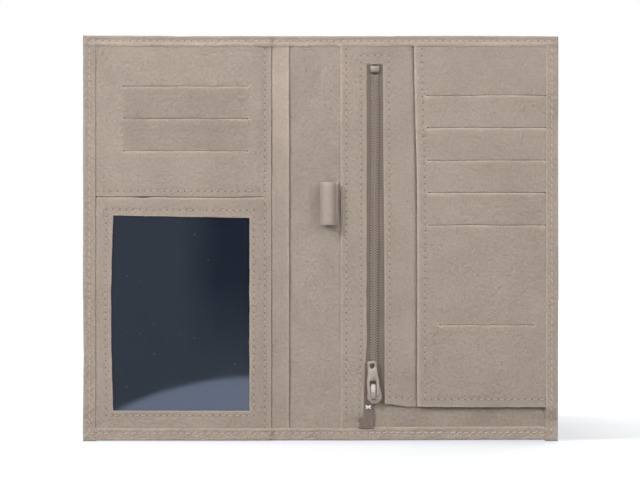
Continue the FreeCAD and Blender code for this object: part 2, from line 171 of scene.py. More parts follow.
def grid_lines(low, high, step, features):
    """Sorted grid coordinates: an even step, with closer lines beside each feature."""
    exact = sorted({low, high, *[f for f in features if low < f < high]})
    close = [f + side * d for f in exact for d in FINE for side in (-1, 1)]
    even = list(np.arange(low, high, step))
    lines = list(exact)
    for value in close + even:
        if low < value < high and min(abs(value - other) for other in lines) > 0.07:
            lines.append(value)
    return np.array(sorted(lines))


# ---- Meshes ----
def mesh_object(name, vertices, faces, materials, face_materials=None, wear=None):
    """A smooth-shaded object from millimetre vertices, which remembers its rest places for its textures."""
    mesh = bpy.data.meshes.new(name)
    sizes = np.array([len(face) for face in faces], np.int32)
    corners = np.concatenate([np.asarray(face, np.int32) for face in faces])
    mesh.vertices.add(len(vertices))
    mesh.vertices.foreach_set("co", (np.asarray(vertices, np.float32) * MM).ravel())
    mesh.loops.add(int(sizes.sum()))
    mesh.loops.foreach_set("vertex_index", corners)
    mesh.polygons.add(len(sizes))
    mesh.polygons.foreach_set("loop_start", np.concatenate([[0], np.cumsum(sizes)[:-1]]).astype(np.int32))
    mesh.update(calc_edges=True)
    for material in materials:
        mesh.materials.append(material)
    if face_materials is not None:
        mesh.polygons.foreach_set("material_index", np.asarray(face_materials, np.int32))
    mesh.polygons.foreach_set("use_smooth", np.ones(len(mesh.polygons), bool))
    obj = bpy.data.objects.new(name, mesh)
    bpy.context.scene.collection.objects.link(obj)
    remember_rest(obj)
    # per-vertex value: edge wear and painted highlights above zero, raw leather and painted shade below it
    if wear is not None:
        layer = mesh.attributes.new("wear", "FLOAT", "POINT")
        layer.data.foreach_set("value", np.asarray(wear, np.float32))
    return obj


REST_STEP = 37.0
REST_STEPS = 29


def rest_shift(name):
    """How far a piece's textures are shifted, in millimetres."""
    return REST_STEP * (sum(map(ord, name)) % REST_STEPS)


def remember_rest(obj):
    """Stores each vertex's rest place in millimetres, shifted so that pieces don't share a grain."""
    count = len(obj.data.vertices)
    places = np.zeros(count * 3, np.float32)
    obj.data.vertices.foreach_get("co", places)
    layer = obj.data.attributes.new("rest", "FLOAT_VECTOR", "POINT")
    layer.data.foreach_set("vector", places / MM + rest_shift(obj.name))


def attach(obj, body, slot, *nodes):
    """The piece rides on a body and takes the place of CAD nodes. The slot is not used."""
    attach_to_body(obj, body)
    if nodes:
        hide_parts(*nodes)


class Sheet:
    """A leather sheet in the XZ plane: outline, cuts, slits and stitch rows, and the shape of its two faces.

    height(x, z) is how far the front stands forward of the fold plane. bend(x, z) moves points within
    the sheet, so that straight lines can wander. The last argument, a function of (x, z), adds to the
    per-vertex value: painted highlights, sheen and shade, and changes of tone. With a floor, cuts don't
    go through: they stop at that Y.
    """

    def __init__(self, x, z, thickness, height, cuts=(), slits=(), rows=(), bend=None, edge=0.4, seed=1,
                 floor=None, back=None, open_x=None, flare=(0, 0), tone_and_painted_light=None):
        self.x, self.z, self.thickness, self.height = x, z, thickness, height
        self.cuts, self.slits, self.rows = list(cuts), list(slits), list(rows)
        self.bend = bend or (lambda x, z: (x, z))
        self.tone_and_painted_light = tone_and_painted_light or (lambda x, z: 0 * x)
        self.edge, self.seed, self.floor, self.back_shape = edge, seed, floor, back
        self.open_x, self.flare = open_x, flare

    def holes(self):
        gaps = [(x0, x1, z - SLIT_GAP / 2, z + SLIT_GAP / 2) for x0, x1, z in self.slits]
        return self.cuts + gaps

    def punches(self):
        return [(end, z) for x0, x1, z in self.slits for end in (x0, x1)]

    def edge_distance(self, x, z):
        """Distance to the nearest edge of the sheet, of a cut or of a slit."""
        distance = np.minimum(z - self.z[0], self.z[1] - z)
        for side_x in self.x:
            if side_x != self.open_x:
                distance = np.minimum(distance, abs(x - side_x))
        distance = np.maximum(distance, 0)
        for rect in self.cuts:
            distance = np.minimum(distance, np.maximum(outside(x, z, rect), 0))
        for px, pz in self.punches():
            distance = np.minimum(distance, np.maximum(np.hypot(x - px, z - pz) - PUNCH_R, 0))
        return distance

    def lip_distance(self, x, z, side):
        """Distance to the nearest slit from below (side -1) or above (side 1)."""
        distance = np.full(np.broadcast(x, z).shape, 50.0)
        for x0, x1, slit_z in self.slits:
            away = np.maximum(outside(x, z, (x0, x1, slit_z - SLIT_GAP / 2, slit_z + SLIT_GAP / 2)), 0)
            distance = np.where((z - slit_z) * side > 0, np.minimum(distance, away), distance)
        return distance

    def lips(self, x, z):
        """The leather below a slit stands out a little and the leather above it lies back."""
        total = np.zeros(np.broadcast(x, z).shape)
        for index, (x0, x1, slit_z) in enumerate(self.slits):
            along = smooth(x, x0 - 2, x0 + 7) * (1 - smooth(x, x1 - 7, x1 + 2))
            strength = LIP_LIFT * (1 + 0.35 * math.sin(2.3 * index + self.seed))
            below, above = np.maximum(slit_z - z, 0), np.maximum(z - slit_z, 0)
            lift, sink = strength * falloff(below, 7), 0.4 * strength * falloff(above, 3)
            total += np.where(z < slit_z, lift, -sink) * along
            for end, out, pucker in ((x0, -1, 0.4), (x1, 1, 0.12)):
                pucker *= 1 + math.sin(3.1 * index + self.seed)
                away = ((x - end - out) / 2.2) ** 2 + ((z - slit_z + 1.2) / 1.6) ** 2
                total += pucker * np.exp(-away)
        return total

    def plain(self, x, z):
        """Front height without edge rounding and stitch grooves."""
        calm = smooth(np.minimum(z - HEM, HEIGHT - HEM - z), 0, 12)
        calm = calm * smooth(HALF_WIDTH - HEM - abs(x), 0, 10)
        wave = 0.18 * ripple(x, z, self.seed, 32) + 0.07 * ripple(x, z, self.seed + 50, 9)
        return self.height(x, z) + calm * (wave + self.lips(x, z))

    def front(self, x, z):
        """Y of the front face."""
        y = -self.plain(x, z) + rounding(self.edge_distance(x, z), self.edge)
        y += rounding(self.lip_distance(x, z, -1), LIP_R) + rounding(self.lip_distance(x, z, 1), LIP_R / 5)
        return y + self.grooves(x, z)

    def grooves(self, x, z):
        """Each stitch row pulls the leather in, and pulls harder at the needle holes."""
        y = np.zeros(np.broadcast(x, z).shape)
        for row in self.rows:
            d = segment_distance(x, z, row)
            y = np.maximum(y, 0.2 * hump(d, 0.6) + 0.1 * hump(d, 1.6))
        return y

    def back(self, x, z):
        """Y of the back face."""
        if self.back_shape:
            return self.back_shape(x, z)
        return -self.plain(x, z) + self.thickness

    def lines(self, step):
        xs = [edge for rect in self.holes() for edge in rect[:2]]
        zs = [edge for rect in self.holes() for edge in rect[2:]]
        xs += [end[0] for row in self.rows for end in row]
        zs += [end[1] for row in self.rows for end in row]
        for px, pz in self.punches():
            xs += [px - PUNCH_R, px - PUNCH_R / 2, px + PUNCH_R / 2, px + PUNCH_R]
            zs += [pz - PUNCH_R, pz + PUNCH_R]
        return grid_lines(*self.x, step, xs), grid_lines(*self.z, step, zs)

    def build(self, name, material, step=1.3):
        xs, zs = self.lines(step)
        x, z = np.meshgrid(xs, zs, indexing="ij")
        cell_x, cell_z = np.meshgrid((xs[1:] + xs[:-1]) / 2, (zs[1:] + zs[:-1]) / 2, indexing="ij")
        gone = np.zeros(cell_x.shape, bool)
        for rect in self.holes():
            gone |= outside(cell_x, cell_z, rect) < 0
        for px, pz in self.punches():
            gone |= np.hypot(cell_x - px, cell_z - pz) < PUNCH_R
        kept = ~gone
        bent_x, bent_z = self.bend(x, z)
        front = np.stack([bent_x, self.front(x, z), bent_z], -1).reshape(-1, 3)
        flared = bent_x - self.flare[0] * (x == xs[0]) + self.flare[1] * (x == xs[-1])
        back = np.stack([flared, self.back(x, z), bent_z], -1).reshape(-1, 3)
        count = x.size
        index = np.arange(count).reshape(x.shape)
        layers = [front, back]
        lower = index + count
        faces = [quads(index, kept), quads(index + count, kept | (self.floor is not None))[:, ::-1]]
        if self.floor is not None:
            floor = np.stack([bent_x, np.full(x.shape, self.floor), bent_z], -1).reshape(-1, 3)
            layers.append(floor)
            faces.append(quads(index + 2 * count, gone))
            lower = np.where(touches(gone), index + 2 * count, lower)
        open_lines = None if self.open_x is None else np.isclose(xs, self.open_x)
        faces.append(walls(index, lower, kept, open_lines))
        vertices = np.concatenate(layers)
        faces = np.concatenate(faces)
        # slit lower lips: wear plus a painted highlight, varying along the slit
        lip_rub_and_highlight = LIP_WEAR_AND_HIGHLIGHT * (1 + 0.5 * ripple(x, z, self.seed + 7, 22))
        # edge wear, then lip wear with painted highlights, then the sheet's own painted light and tone
        worn_and_lit = falloff(self.edge_distance(x, z), 0.5)
        worn_and_lit = worn_and_lit + lip_rub_and_highlight * falloff(self.lip_distance(x, z, -1), 0.6)
        worn_and_lit = (worn_and_lit + self.tone_and_painted_light(x, z)).ravel()
        # the raw back is darker; where it shows past a flared edge it is painted shade
        behind = np.zeros(count) if self.back_shape else np.full(count, RAW_EDGE_AND_SHADE)
        wear = np.concatenate([worn_and_lit, behind] + [np.zeros(count)] * (len(layers) - 2))
        used, packed = np.unique(faces, return_inverse=True)
        return mesh_object(name, vertices[used], packed.reshape(faces.shape), [material], wear=wear[used])


def level_sheet(name, material, x, z, thickness, height, step=3.0, edge=0.02, bend=None):
    """A sheet without the waves that leather has."""
    sheet = Sheet(x, z, thickness, height, edge=edge, bend=bend)
    sheet.plain = height
    return sheet.build(name, material, step=step)


def quads(index, mask):
    """Faces of the grid cells in mask, facing -Y."""
    corners = [index[:-1, :-1], index[1:, :-1], index[1:, 1:], index[:-1, 1:]]
    return np.stack([corner[mask] for corner in corners], -1)


def touches(mask):
    """Grid points that belong to a cell in mask."""
    points = np.zeros((mask.shape[0] + 1, mask.shape[1] + 1), bool)
    for di in (0, 1):
        for dj in (0, 1):
            points[di : di + mask.shape[0], dj : dj + mask.shape[1]] |= mask
    return points


def walls(upper, lower, kept, open_lines):
    """Side faces between the two layers wherever a kept cell meets a missing one."""
    padded = np.pad(kept, 1)
    here = padded[1:-1, 1:-1]
    found = []
    sides = [
        (here & ~padded[:-2, 1:-1], (0, 0), (0, 1)),
        (here & ~padded[2:, 1:-1], (1, 1), (1, 0)),
        (here & ~padded[1:-1, :-2], (1, 0), (0, 0)),
        (here & ~padded[1:-1, 2:], (0, 1), (1, 1)),
    ]
    for mask, first, second in sides:
        i, j = np.nonzero(mask)
        if open_lines is not None and first[0] == second[0]:
            shut = ~open_lines[i + first[0]]
            i, j = i[shut], j[shut]
        a, b = (i + first[0], j + first[1]), (i + second[0], j + second[1])
        found.append(np.stack([upper[a], upper[b], lower[b], lower[a]], -1))
    return np.concatenate(found)


# ---- Stitches ----
THREAD_R = 0.33
STITCH_LENGTH = 2.85
STITCH_SLANT = math.radians(9)
THREAD_RINGS = 7
THREAD_SIDES = 6
HOLE_R = 0.33
HOLE_LENGTH = 0.45
HOLE_SIDES = 8


def stitches(name, rows, surface, bend, side, materials):
    """Thread and needle holes along rows. Side -1 sews the front face and +1 the back face."""
    middles, holes, slants, leans = [], [], [], []
    for first, last in rows:
        first, last = np.array(first), np.array(last)
        run = last - first
        count = max(1, round(np.linalg.norm(run) / STITCH_PITCH))
        middles.append(first + run * ((np.arange(count) + 0.5) / count)[:, None])
        holes.append(first + run * (np.arange(count + 1) / count)[:, None])
        slant = math.atan2(run[1], run[0]) + STITCH_SLANT
        slants.append(np.full(count, slant))
        leans.append(np.full(count + 1, slant))
    middles, slants = np.concatenate(middles), np.concatenate(slants)
    holes, leans = np.concatenate(holes), np.concatenate(leans)
    thread, thread_faces = thread_tubes(middles, slants, surface, bend, side)
    caps, cap_faces = needle_holes(holes, leans, surface, bend, side)
    vertices = np.concatenate([thread, caps])
    faces = np.concatenate([thread_faces, cap_faces + len(thread)])
    kinds = np.repeat([0, 1], [len(thread_faces), len(cap_faces)])
    return mesh_object(name, vertices, faces, materials, kinds)


def thread_tubes(middles, angles, surface, bend, side):
    """Stitches: thin tubes that rise out of one needle hole and dive into the next."""
    u = np.linspace(-1, 1, THREAD_RINGS)[None, :, None]
    around = (np.arange(THREAD_SIDES) / THREAD_SIDES * math.tau)[None, None, :]
    radius = THREAD_R * (1 - 0.45 * u**4)
    along, across = u * STITCH_LENGTH / 2, radius * np.cos(around)
    cos, sin = np.cos(angles)[:, None, None], np.sin(angles)[:, None, None]
    x = middles[:, 0, None, None] + along * cos - across * sin
    z = middles[:, 1, None, None] + along * sin + across * cos
    y = surface(x, z) + side * (0.19 - 0.42 * u**4 + radius * np.sin(around))
    return copies(x, y, z, tube_faces(THREAD_RINGS, THREAD_SIDES), bend, side)


def tube_faces(rings, sides):
    """Faces of an open tube whose vertices go ring by ring."""
    ring = np.arange(sides)
    after = (ring + 1) % sides
    first = (np.arange(rings - 1) * sides)[:, None]
    corners = [first + ring, first + after, first + after + sides, first + ring + sides]
    return np.stack(corners, -1).reshape(-1, 4)


def needle_holes(places, angles, surface, bend, side):
    """Needle holes: small oval caps set into the leather, coloured darker as painted shade in each hole."""
    around = np.arange(HOLE_SIDES) / HOLE_SIDES * math.tau
    along = np.append(HOLE_LENGTH * np.cos(around), 0)[None, :]
    across = np.append(HOLE_R * np.sin(around), 0)[None, :]
    cos, sin = np.cos(angles)[:, None], np.sin(angles)[:, None]
    x = places[:, 0, None] + along * cos - across * sin
    z = places[:, 1, None] + along * sin + across * cos
    y = surface(x, z) + side * np.append(np.zeros(HOLE_SIDES), 0.07)[None, :]
    ring = np.arange(0, HOLE_SIDES, 2)
    fan = np.stack([np.full(len(ring), HOLE_SIDES), ring, ring + 1, (ring + 2) % HOLE_SIDES], -1)
    return copies(x, y, z, fan, bend, side)


def copies(x, y, z, faces, bend, side):
    """Vertices and faces of many equal pieces, one per first index of x, y and z."""
    bent_x, bent_z = bend(x, z)
    vertices = np.stack([bent_x, y, bent_z], -1).reshape(len(x), -1, 3)
    shift = (np.arange(len(x)) * vertices.shape[1])[:, None, None]
    return vertices.reshape(-1, 3), (faces[None, :, ::-side] + shift).reshape(-1, 4)


# ---- Materials ----
RAW_AND_SHADE_TONE = 0.6  # how dark the flesh side, the cut edges and painted shade are
FILM_SHINE = 0.25
WEAVE_WAVE = 0.314  # scale of a wave texture whose bands are 1 mm apart


class Nodes:
    """Short calls that add a shader node and return one of its outputs."""

    def __init__(self, owner):
        owner.use_nodes = True
        self.tree = owner.node_tree
        self.tree.nodes.clear()

    def add(self, kind, inputs=None, out=0, **settings):
        """Adds a node. An input is a plain value or another node's output."""
        node = self.tree.nodes.new("ShaderNode" + kind)
        for key, value in settings.items():
            setattr(node, key, value)
        for key, value in (inputs or {}).items():
            if isinstance(value, bpy.types.NodeSocket):
                self.tree.links.new(value, node.inputs[key])
            else:
                node.inputs[key].default_value = value
        return node.outputs[out] if node.outputs else None

    def rest_place(self):
        return self.add("Attribute", None, "Vector", attribute_name="rest")

    def noise(self, place, scale, detail=2.0):
        return self.add("TexNoise", {"Vector": place, "Scale": scale, "Detail": detail}, "Fac")

    def bands(self, place, scale, distortion, direction):
        inputs = {"Vector": place, "Scale": scale, "Distortion": distortion}
        return self.add("TexWave", inputs, "Fac", bands_direction=direction)

    def remap(self, value, low, high, start=0.0, end=1.0, clamp=True):
        """Goes from low to high as value goes from start to end."""
        inputs = {"Value": value, "From Min": start, "From Max": end, "To Min": low, "To Max": high}
        return self.add("MapRange", inputs, "Result", clamp=clamp)

    def math(self, operation, *values):
        return self.add("Math", dict(enumerate(values)), "Value", operation=operation)

    def vectors(self, operation, *values, out="Vector"):
        return self.add("VectorMath", dict(enumerate(values)), out, operation=operation)

    def scaled(self, color, amount):
        return self.add("VectorMath", {0: color, "Scale": amount}, "Vector", operation="SCALE")

    def tinted(self, color, factor, dark, light, start=0.0, end=1.0):
        """The colour made darker or lighter as factor goes from start to end."""
        return self.scaled(color, self.remap(factor, dark, light, start, end))

    def bump(self, height, depth):
        return self.add("Bump", {"Height": height, "Distance": depth * MM}, "Normal")

    def surface(self, color, roughness, others):
        """The material's one surface shader."""
        inputs = {"Base Color": color, "Roughness": roughness, **others}
        self.add("OutputMaterial", {"Surface": self.add("BsdfPrincipled", inputs, "BSDF")})


def new_material(name):
    material = bpy.data.materials.new(name)
    return material, Nodes(material)


def leather(name, color, grain=0.6, relief=0.17, rough=0.36, wear=0.4):
    """Fine-grained leather: mottled colour, pebbled grain, a per-vertex lightening and darkening (edge wear,
    painted highlights, painted shade) and a soft sheen.
    """
    material, nodes = new_material(name)
    place = nodes.rest_place()
    edge = nodes.add("Attribute", None, "Fac", attribute_name="wear")
    fleck = nodes.noise(place, 0.75, 4.0)
    tone = nodes.tinted(color, nodes.noise(place, 0.045, 3.0), 0.82, 1.18)
    tone = nodes.tinted(tone, fleck, 0.83, 1.17)
    # the per-vertex value lightens for edge wear and painted highlights, and darkens for raw leather and
    # painted shade
    pale = nodes.remap(edge, 1.0, 1.0 + wear, clamp=False)
    tone = nodes.scaled(tone, nodes.math("MAXIMUM", pale, 1.0))
    tone = nodes.tinted(tone, edge, RAW_AND_SHADE_TONE, 1.0, RAW_EDGE_AND_SHADE, 0.0)
    swirl = nodes.scaled(fleck.node.outputs["Color"], 0.7)
    pebble_inputs = {"Vector": nodes.vectors("ADD", place, swirl), "Scale": 1 / grain}
    pebble = nodes.add("TexVoronoi", pebble_inputs, "Distance", feature="DISTANCE_TO_EDGE")
    crease = nodes.remap(pebble, 0.0, 1.0, 0.0, 0.25)
    folds = nodes.math("MULTIPLY_ADD", nodes.noise(place, 0.5, 4.0), 6.0, crease)
    sheen = {"Specular IOR Level": 0.5, "Sheen Weight": 0.12, "Sheen Roughness": 0.5}
    gloss = nodes.remap(fleck, rough + 0.1, rough - 0.1)
    nodes.surface(tone, gloss, {"Normal": nodes.bump(folds, relief), **sheen})
    return material


def cloth(name, color, thread=0.25, relief=0.05, rough=0.85, specks=0.0):
    """Woven cloth: crossed threads, uneven dye, and optional pale specks of dust."""
    material, nodes = new_material(name)
    place = nodes.rest_place()
    warp, weft = (nodes.bands(place, WEAVE_WAVE / thread, 0.6, way) for way in ("DIAGONAL", "Z"))
    weave = nodes.math("MULTIPLY", warp, weft)
    tone = nodes.tinted(color, nodes.noise(place, 0.08, 4.0), 0.8, 1.2)
    tone = nodes.tinted(tone, weave, 0.75, 1.2)
    if specks:
        tone = nodes.vectors("ADD", tone, nodes.math("MULTIPLY", dust(nodes, place), specks))
    nodes.surface(tone, rough, {"Normal": nodes.bump(weave, relief), "Sheen Weight": 0.2})
    return material


def dust(nodes, place):
    """1 on round specks of differing size, scattered over the XZ plane, and 0 between them."""
    parts = nodes.add("SeparateXYZ", {0: place}).node.outputs
    flat = nodes.add("CombineXYZ", {"X": parts["X"], "Y": parts["Z"]})
    inputs = {"Vector": flat, "Scale": 0.14}
    cells = nodes.add("TexVoronoi", inputs, "Distance", voronoi_dimensions="2D")
    chance = nodes.add("SeparateXYZ", {0: cells.node.outputs["Color"]}, "X")
    return nodes.math("GREATER_THAN", nodes.remap(chance, 0.0, 0.045, 0.6), cells)


def thread_material(name, color):
    """Twisted sewing thread."""
    material, nodes = new_material(name)
    place = nodes.rest_place()
    ply = nodes.bands(place, 0.9, 1.0, "DIAGONAL")
    tone = nodes.tinted(color, ply, 0.85, 1.1)
    tone = nodes.tinted(tone, nodes.noise(place, 0.3), 0.85, 1.15)
    nodes.surface(tone, 0.6, {"Normal": nodes.bump(ply, 0.03)})
    return material


def plastic(name, color, rough=0.35):
    """Moulded or drawn nylon with slight mottling."""
    material, nodes = new_material(name)
    fleck = nodes.noise(nodes.rest_place(), 1.3, 3.0)
    tone = nodes.tinted(color, fleck, 0.85, 1.15)
    gloss = nodes.remap(fleck, rough - 0.1, rough + 0.1)
    nodes.surface(tone, gloss, {"Normal": nodes.bump(fleck, 0.02)})
    return material


def metal(name, color, rough=0.3):
    """Plated zip metal: brushed along its length, with handling marks in the polish."""
    material, nodes = new_material(name)
    place = nodes.rest_place()
    brush = nodes.noise(nodes.vectors("MULTIPLY", place, (3.0, 3.0, 0.25)), 2.0, 3.0)
    smear = nodes.noise(place, 0.35, 4.0)
    tone = nodes.tinted(color, smear, 0.85, 1.12)
    gloss = nodes.remap(smear, rough - 0.12, rough + 0.18)
    nodes.surface(tone, gloss, {"Metallic": 1.0, "Normal": nodes.bump(brush, 0.012)})
    return material


def film_material(name):
    """Clear vinyl: mostly see-through, with a clean mirror-like face and faint smears."""
    material, nodes = new_material(name)
    smear = nodes.noise(nodes.rest_place(), 0.06, 4.0)
    tone = nodes.tinted((0.82, 0.9, 1.0), smear, 0.93, 1.07)
    gloss = nodes.remap(smear, 0.0, 0.03)
    nodes.surface(tone, gloss, {"Metallic": 1.0, "Alpha": FILM_SHINE})
    return material


PANEL_LEATHER = leather("panel_leather", (0.435, 0.357, 0.294))
COVER_LEATHER = leather("cover_leather", (0.44, 0.362, 0.3), grain=0.75, relief=0.22)
LINING_LEATHER = leather("lining_leather", (0.455, 0.375, 0.31), grain=0.5)
LOOP_LEATHER = leather("loop_leather", (0.385, 0.318, 0.268), grain=0.55, relief=0.03, rough=0.33)
BOARD = cloth("stiffening_board", (0.5, 0.45, 0.38), thread=0.8, relief=0.02)
POCKET_CLOTH = cloth("pocket_cloth", (0.3, 0.25, 0.21))
NAVY_CLOTH = cloth("navy_cloth", (0.0105, 0.027, 0.064), thread=0.3, rough=0.75, specks=0.2)
TAPE_CLOTH = cloth("zip_tape_cloth", (0.235, 0.187, 0.154), thread=0.3, relief=0.08)
THREAD = thread_material("panel_thread", (0.5, 0.41, 0.345))
HEM_THREAD = thread_material("hem_thread", (0.6, 0.49, 0.415))
# needle hole caps: their darker colour is painted shade inside the holes
HOLE_SHADE = plastic("needle_hole", (0.22, 0.178, 0.145), rough=0.9)
HEM_HOLE_SHADE = plastic("hem_needle_hole", (0.37, 0.3, 0.25), rough=0.9)
COIL_NYLON = plastic("coil_nylon", (0.45, 0.375, 0.32))
ZIP_METAL = metal("zip_metal", (0.47, 0.405, 0.355), rough=0.48)
BOX_METAL = metal("box_metal", (0.31, 0.28, 0.255), rough=0.42)
BRIDGE_METAL = metal("bridge_metal", (0.52, 0.48, 0.445), rough=0.5)
CLIP_METAL = metal("clip_metal", (0.92, 0.91, 0.89), rough=0.4)
FILM_CLEAR = film_material("clear_film")

# ---- Heights of the layers in front of the fold plane ----
SIDE_HEM_STEP = 0.25  # the side hems lie over the ends of the top and bottom hems
TOP_RIDGE, LOW_RIDGE = 4.1, 5.4  # where the hems are thickest, from the top and bottom edges
PAGE_LIFT = 0.35  # the free lower edge of the zip flap and card panel hangs forward


def left_stack(x, z):
    slip_edge, panel_edge = -SLIP[0][1], -LEFT_PANEL[0][1]
    slip = SLIP_H * smooth(-x, slip_edge - 0.8, slip_edge + 0.4)
    return slip + (LEFT_H - SLIP_H) * smooth(-x, panel_edge - 1.0, panel_edge + 0.4)


def strip_height(x, z):
    """The zip panel rises from the lining at its left edge to the zip, and lies flat at the bottom."""
    return STRIP_H + (FLAP_H - STRIP_H) * smooth(x, FOLD_X + 1, ZIP_X - 7.5) * smooth(z, 9, 15)


def right_stack(x, z):
    edge = smooth(x, FOLD_X - 0.6, FOLD_X + 0.8)
    above_flap = smooth(z, 9, FLAP_LOW_Z)
    card = (CARD_H - FLAP_H) * smooth(x, CARD_PANEL[0][0] - 1.2, CARD_PANEL[0][0] + 0.4) * above_flap
    strip = strip_height(np.minimum(x, ZIP_X), z)
    flap = STRIP_H + (FLAP_H - STRIP_H) * above_flap
    past_zip = smooth(x, 30, 60)
    return edge * (strip * (1 - past_zip) + flap * past_zip) + card


def hem_height(stack):
    def height(x, z):
        side_hem = SIDE_HEM_STEP * smooth(abs(x), HALF_WIDTH - HEM - 0.1, HALF_WIDTH - HEM + 0.1)
        puff = 0.6 * hump(HEIGHT - z - TOP_RIDGE, 0.9)
        puff = puff + 0.2 * hump(z - LOW_RIDGE, 0.9)
        return HEM_T + stack(x, z) + side_hem + puff

    return height


def page_lift(x, z):
    """Forward hang of the free lower edge, which fades under the side hem."""
    fade = 1 - smooth(x, HALF_WIDTH - 38, HALF_WIDTH - HEM - 3)
    return PAGE_LIFT * falloff(np.maximum(z - FLAP_LOW_Z, 0), 16) * fade


# ---- Cover ----
EDGE_R = 0.95


def hem_rows(side):
    """Stitch rows round one half of the cover."""
    far, low, high = side * (HALF_WIDTH - STITCH_IN), STITCH_IN + 0.6, HEIGHT - STITCH_IN + 0.75
    return [((0.0, high), (far, high)), ((far, high), (far, low)), ((far, low), (0.0, low))]


def cover_edges(x, z, side):
    """Distance to the outer edge only, not to the cut between the halves or the mouth."""
    return np.maximum(np.minimum(HALF_WIDTH - side * x, np.minimum(z, HEIGHT - z)), 0)


def build_cover(side, stack, name, nodes):
    """Half of the cover: the back, the rounded outer edge and the hem turned over the front."""
    x_range = (0.0, HALF_WIDTH) if side > 0 else (-HALF_WIDTH, 0.0)
    inner = sorted((-side, side * (HALF_WIDTH - HEM)))
    mouth = (inner[0], inner[1], HEM, HEIGHT - TOP_HEM)
    rows = hem_rows(side)

    def bend(x, z):
        """A hand-turned edge isn't quite straight."""
        near = falloff(cover_edges(x, z, side), 10)
        sway_x = 0.12 * ripple(0 * x, z, 3 + side, 60) + 0.05 * ripple(0 * x, z, 5 + side, 14)
        sway_z = 0.3 * ripple(x, 0 * z, 7, 110) + 0.06 * ripple(x, 0 * z, 9, 16)
        middle = smooth(abs(z - HEIGHT / 2), HEIGHT * 0.3, HEIGHT * 0.45)
        between = 1 - smooth(abs(x), HALF_WIDTH - HEM - 1.0, HALF_WIDTH - HEM)
        rise = 0.3 + 0.6 * smooth(x, ZIP_X - 6, ZIP_X - 4) + 0.3 * smooth(x, ZIP_X, HALF_WIDTH - HEM)
        lower_hem = rise * hump(z - HEM, 2.6) * smooth(z, 0, 4)
        lower_edge = (0.3 + 0.35 * smooth(x, 0, HALF_WIDTH)) * (1 - smooth(z, 0, 3))
        raised = between * (lower_hem + lower_edge)
        sway = near * sway_z * middle * smooth(z, 0, 20)
        return x + near * sway_x * smooth(abs(x), 60, 110), z + sway + raised

    def back(x, z):
        edge = cover_edges(x, z, side)
        uneven = 0.12 * ripple(x, z, 21, 45) + 0.04 * ripple(x, z, 22, 11)
        groove = 0.05 * hump(segment_rows(x, z, rows), 0.8)
        return BACK_Y - 0.15 + uneven * smooth(edge, 0, 14) - rounding(edge, EDGE_R) - groove

    def tone_and_painted_light(x, z):
        """The crest of the top hem gets a painted highlight, and the whole bottom hem is lighter."""
        ridge_highlight = hump(HEIGHT - z - TOP_RIDGE, 1.0) * smooth(HALF_WIDTH - abs(x), 2, 5)
        return 0.9 * ridge_highlight + 0.2 * (1 - smooth(z, HEM - 1, HEM + 1))

    sheet = Sheet(
        x_range, (0.0, HEIGHT), COVER_T, hem_height(stack), cuts=[mouth], rows=rows, bend=bend,
        seed=30 + side, floor=span("board_right")[1][1], back=back, open_x=0.0, tone_and_painted_light=tone_and_painted_light,
    )

    def hem_edge(x, z):
        return np.maximum(outside(x, z, mouth), 0)

    def edge_distance(x, z):
        return np.minimum(cover_edges(x, z, side), hem_edge(x, z))

    def front(x, z):
        y = rounding(cover_edges(x, z, side), EDGE_R) + rounding(hem_edge(x, z), 0.35) - sheet.height(x, z)
        return y + sheet.grooves(x, z) - 0.06 * ripple(x, z, 40, 8)

    sheet.edge_distance, sheet.front = edge_distance, front
    obj = sheet.build(name, COVER_LEATHER)
    sewn = stitches(name + "_front_stitches", rows, sheet.front, bend, -1, [HEM_THREAD, HEM_HOLE_SHADE])
    sewn_back = stitches(name + "_back_stitches", rows, back, bend, 1, [HEM_THREAD, HEM_HOLE_SHADE])
    for piece in (obj, sewn, sewn_back):
        fold_with(piece)
    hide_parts(*nodes)


def segment_rows(x, z, rows):
    return np.min([segment_distance(x, z, row) for row in rows], axis=0)


def fold_with(obj):
    """Bakes the piece's placement into its mesh."""
    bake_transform(obj)


def build_lining(side, name, nodes):
    """The lining of one half and of half the spine."""
    far = side * (HALF_WIDTH - 2.0)
    x_range = (0.0, far) if side > 0 else (far, 0.0)

    def height(x, z):
        return -0.06 + 0.1 * ripple(x, z, 61, 22, 0.8) * smooth(FOLD_X + 6 - abs(x), 0, 4)

    sheet = Sheet(x_range, (2.0, HEIGHT - 2.0), LINING_T, height, seed=60, edge=0.01, open_x=0.0)
    obj = sheet.build(name, LINING_LEATHER)
    fold_with(obj)
    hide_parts(*nodes)


# ---- Panels ----
def slits_from(liners):
    """(x0, x1, z) of the slit in front of each liner, which reaches a little past it."""
    found = []
    for liner in liners:
        (x0, x1), _, (_, top) = span(liner)
        found.append((x0 + LINER_LAP, x1 - LINER_LAP, top - LINER_LAP))
    return found


def wander(slits, seed):
    """Bends points so that the slits aren't quite straight."""

    def bend(x, z):
        shift = np.zeros(np.broadcast(x, z).shape)
        for number, (_, _, slit_z) in enumerate(slits):
            sway = 0.13 * ripple(x, 0 * z, seed + number, 45)
            sway = sway + 0.05 * ripple(x, 0 * z, seed + 20 + number, 11)
            shift = shift + sway * hump(z - slit_z, 5)
        return x, z + shift

    return bend


def panel(name, sheet, body, node):
    """A leather panel with its stitches."""
    attach(sheet.build(name, PANEL_LEATHER), body, "panel_leather", node)
    if sheet.rows:
        sewn = stitches(name + "_stitches", sheet.rows, sheet.front, sheet.bend, -1, [THREAD, HOLE_SHADE])
        attach(sewn, body, "panel_leather")


def upright_row(x, low, high):
    return ((x, low), (x, high))


def level_row(z, left, right):
    return ((left, z), (right, z))


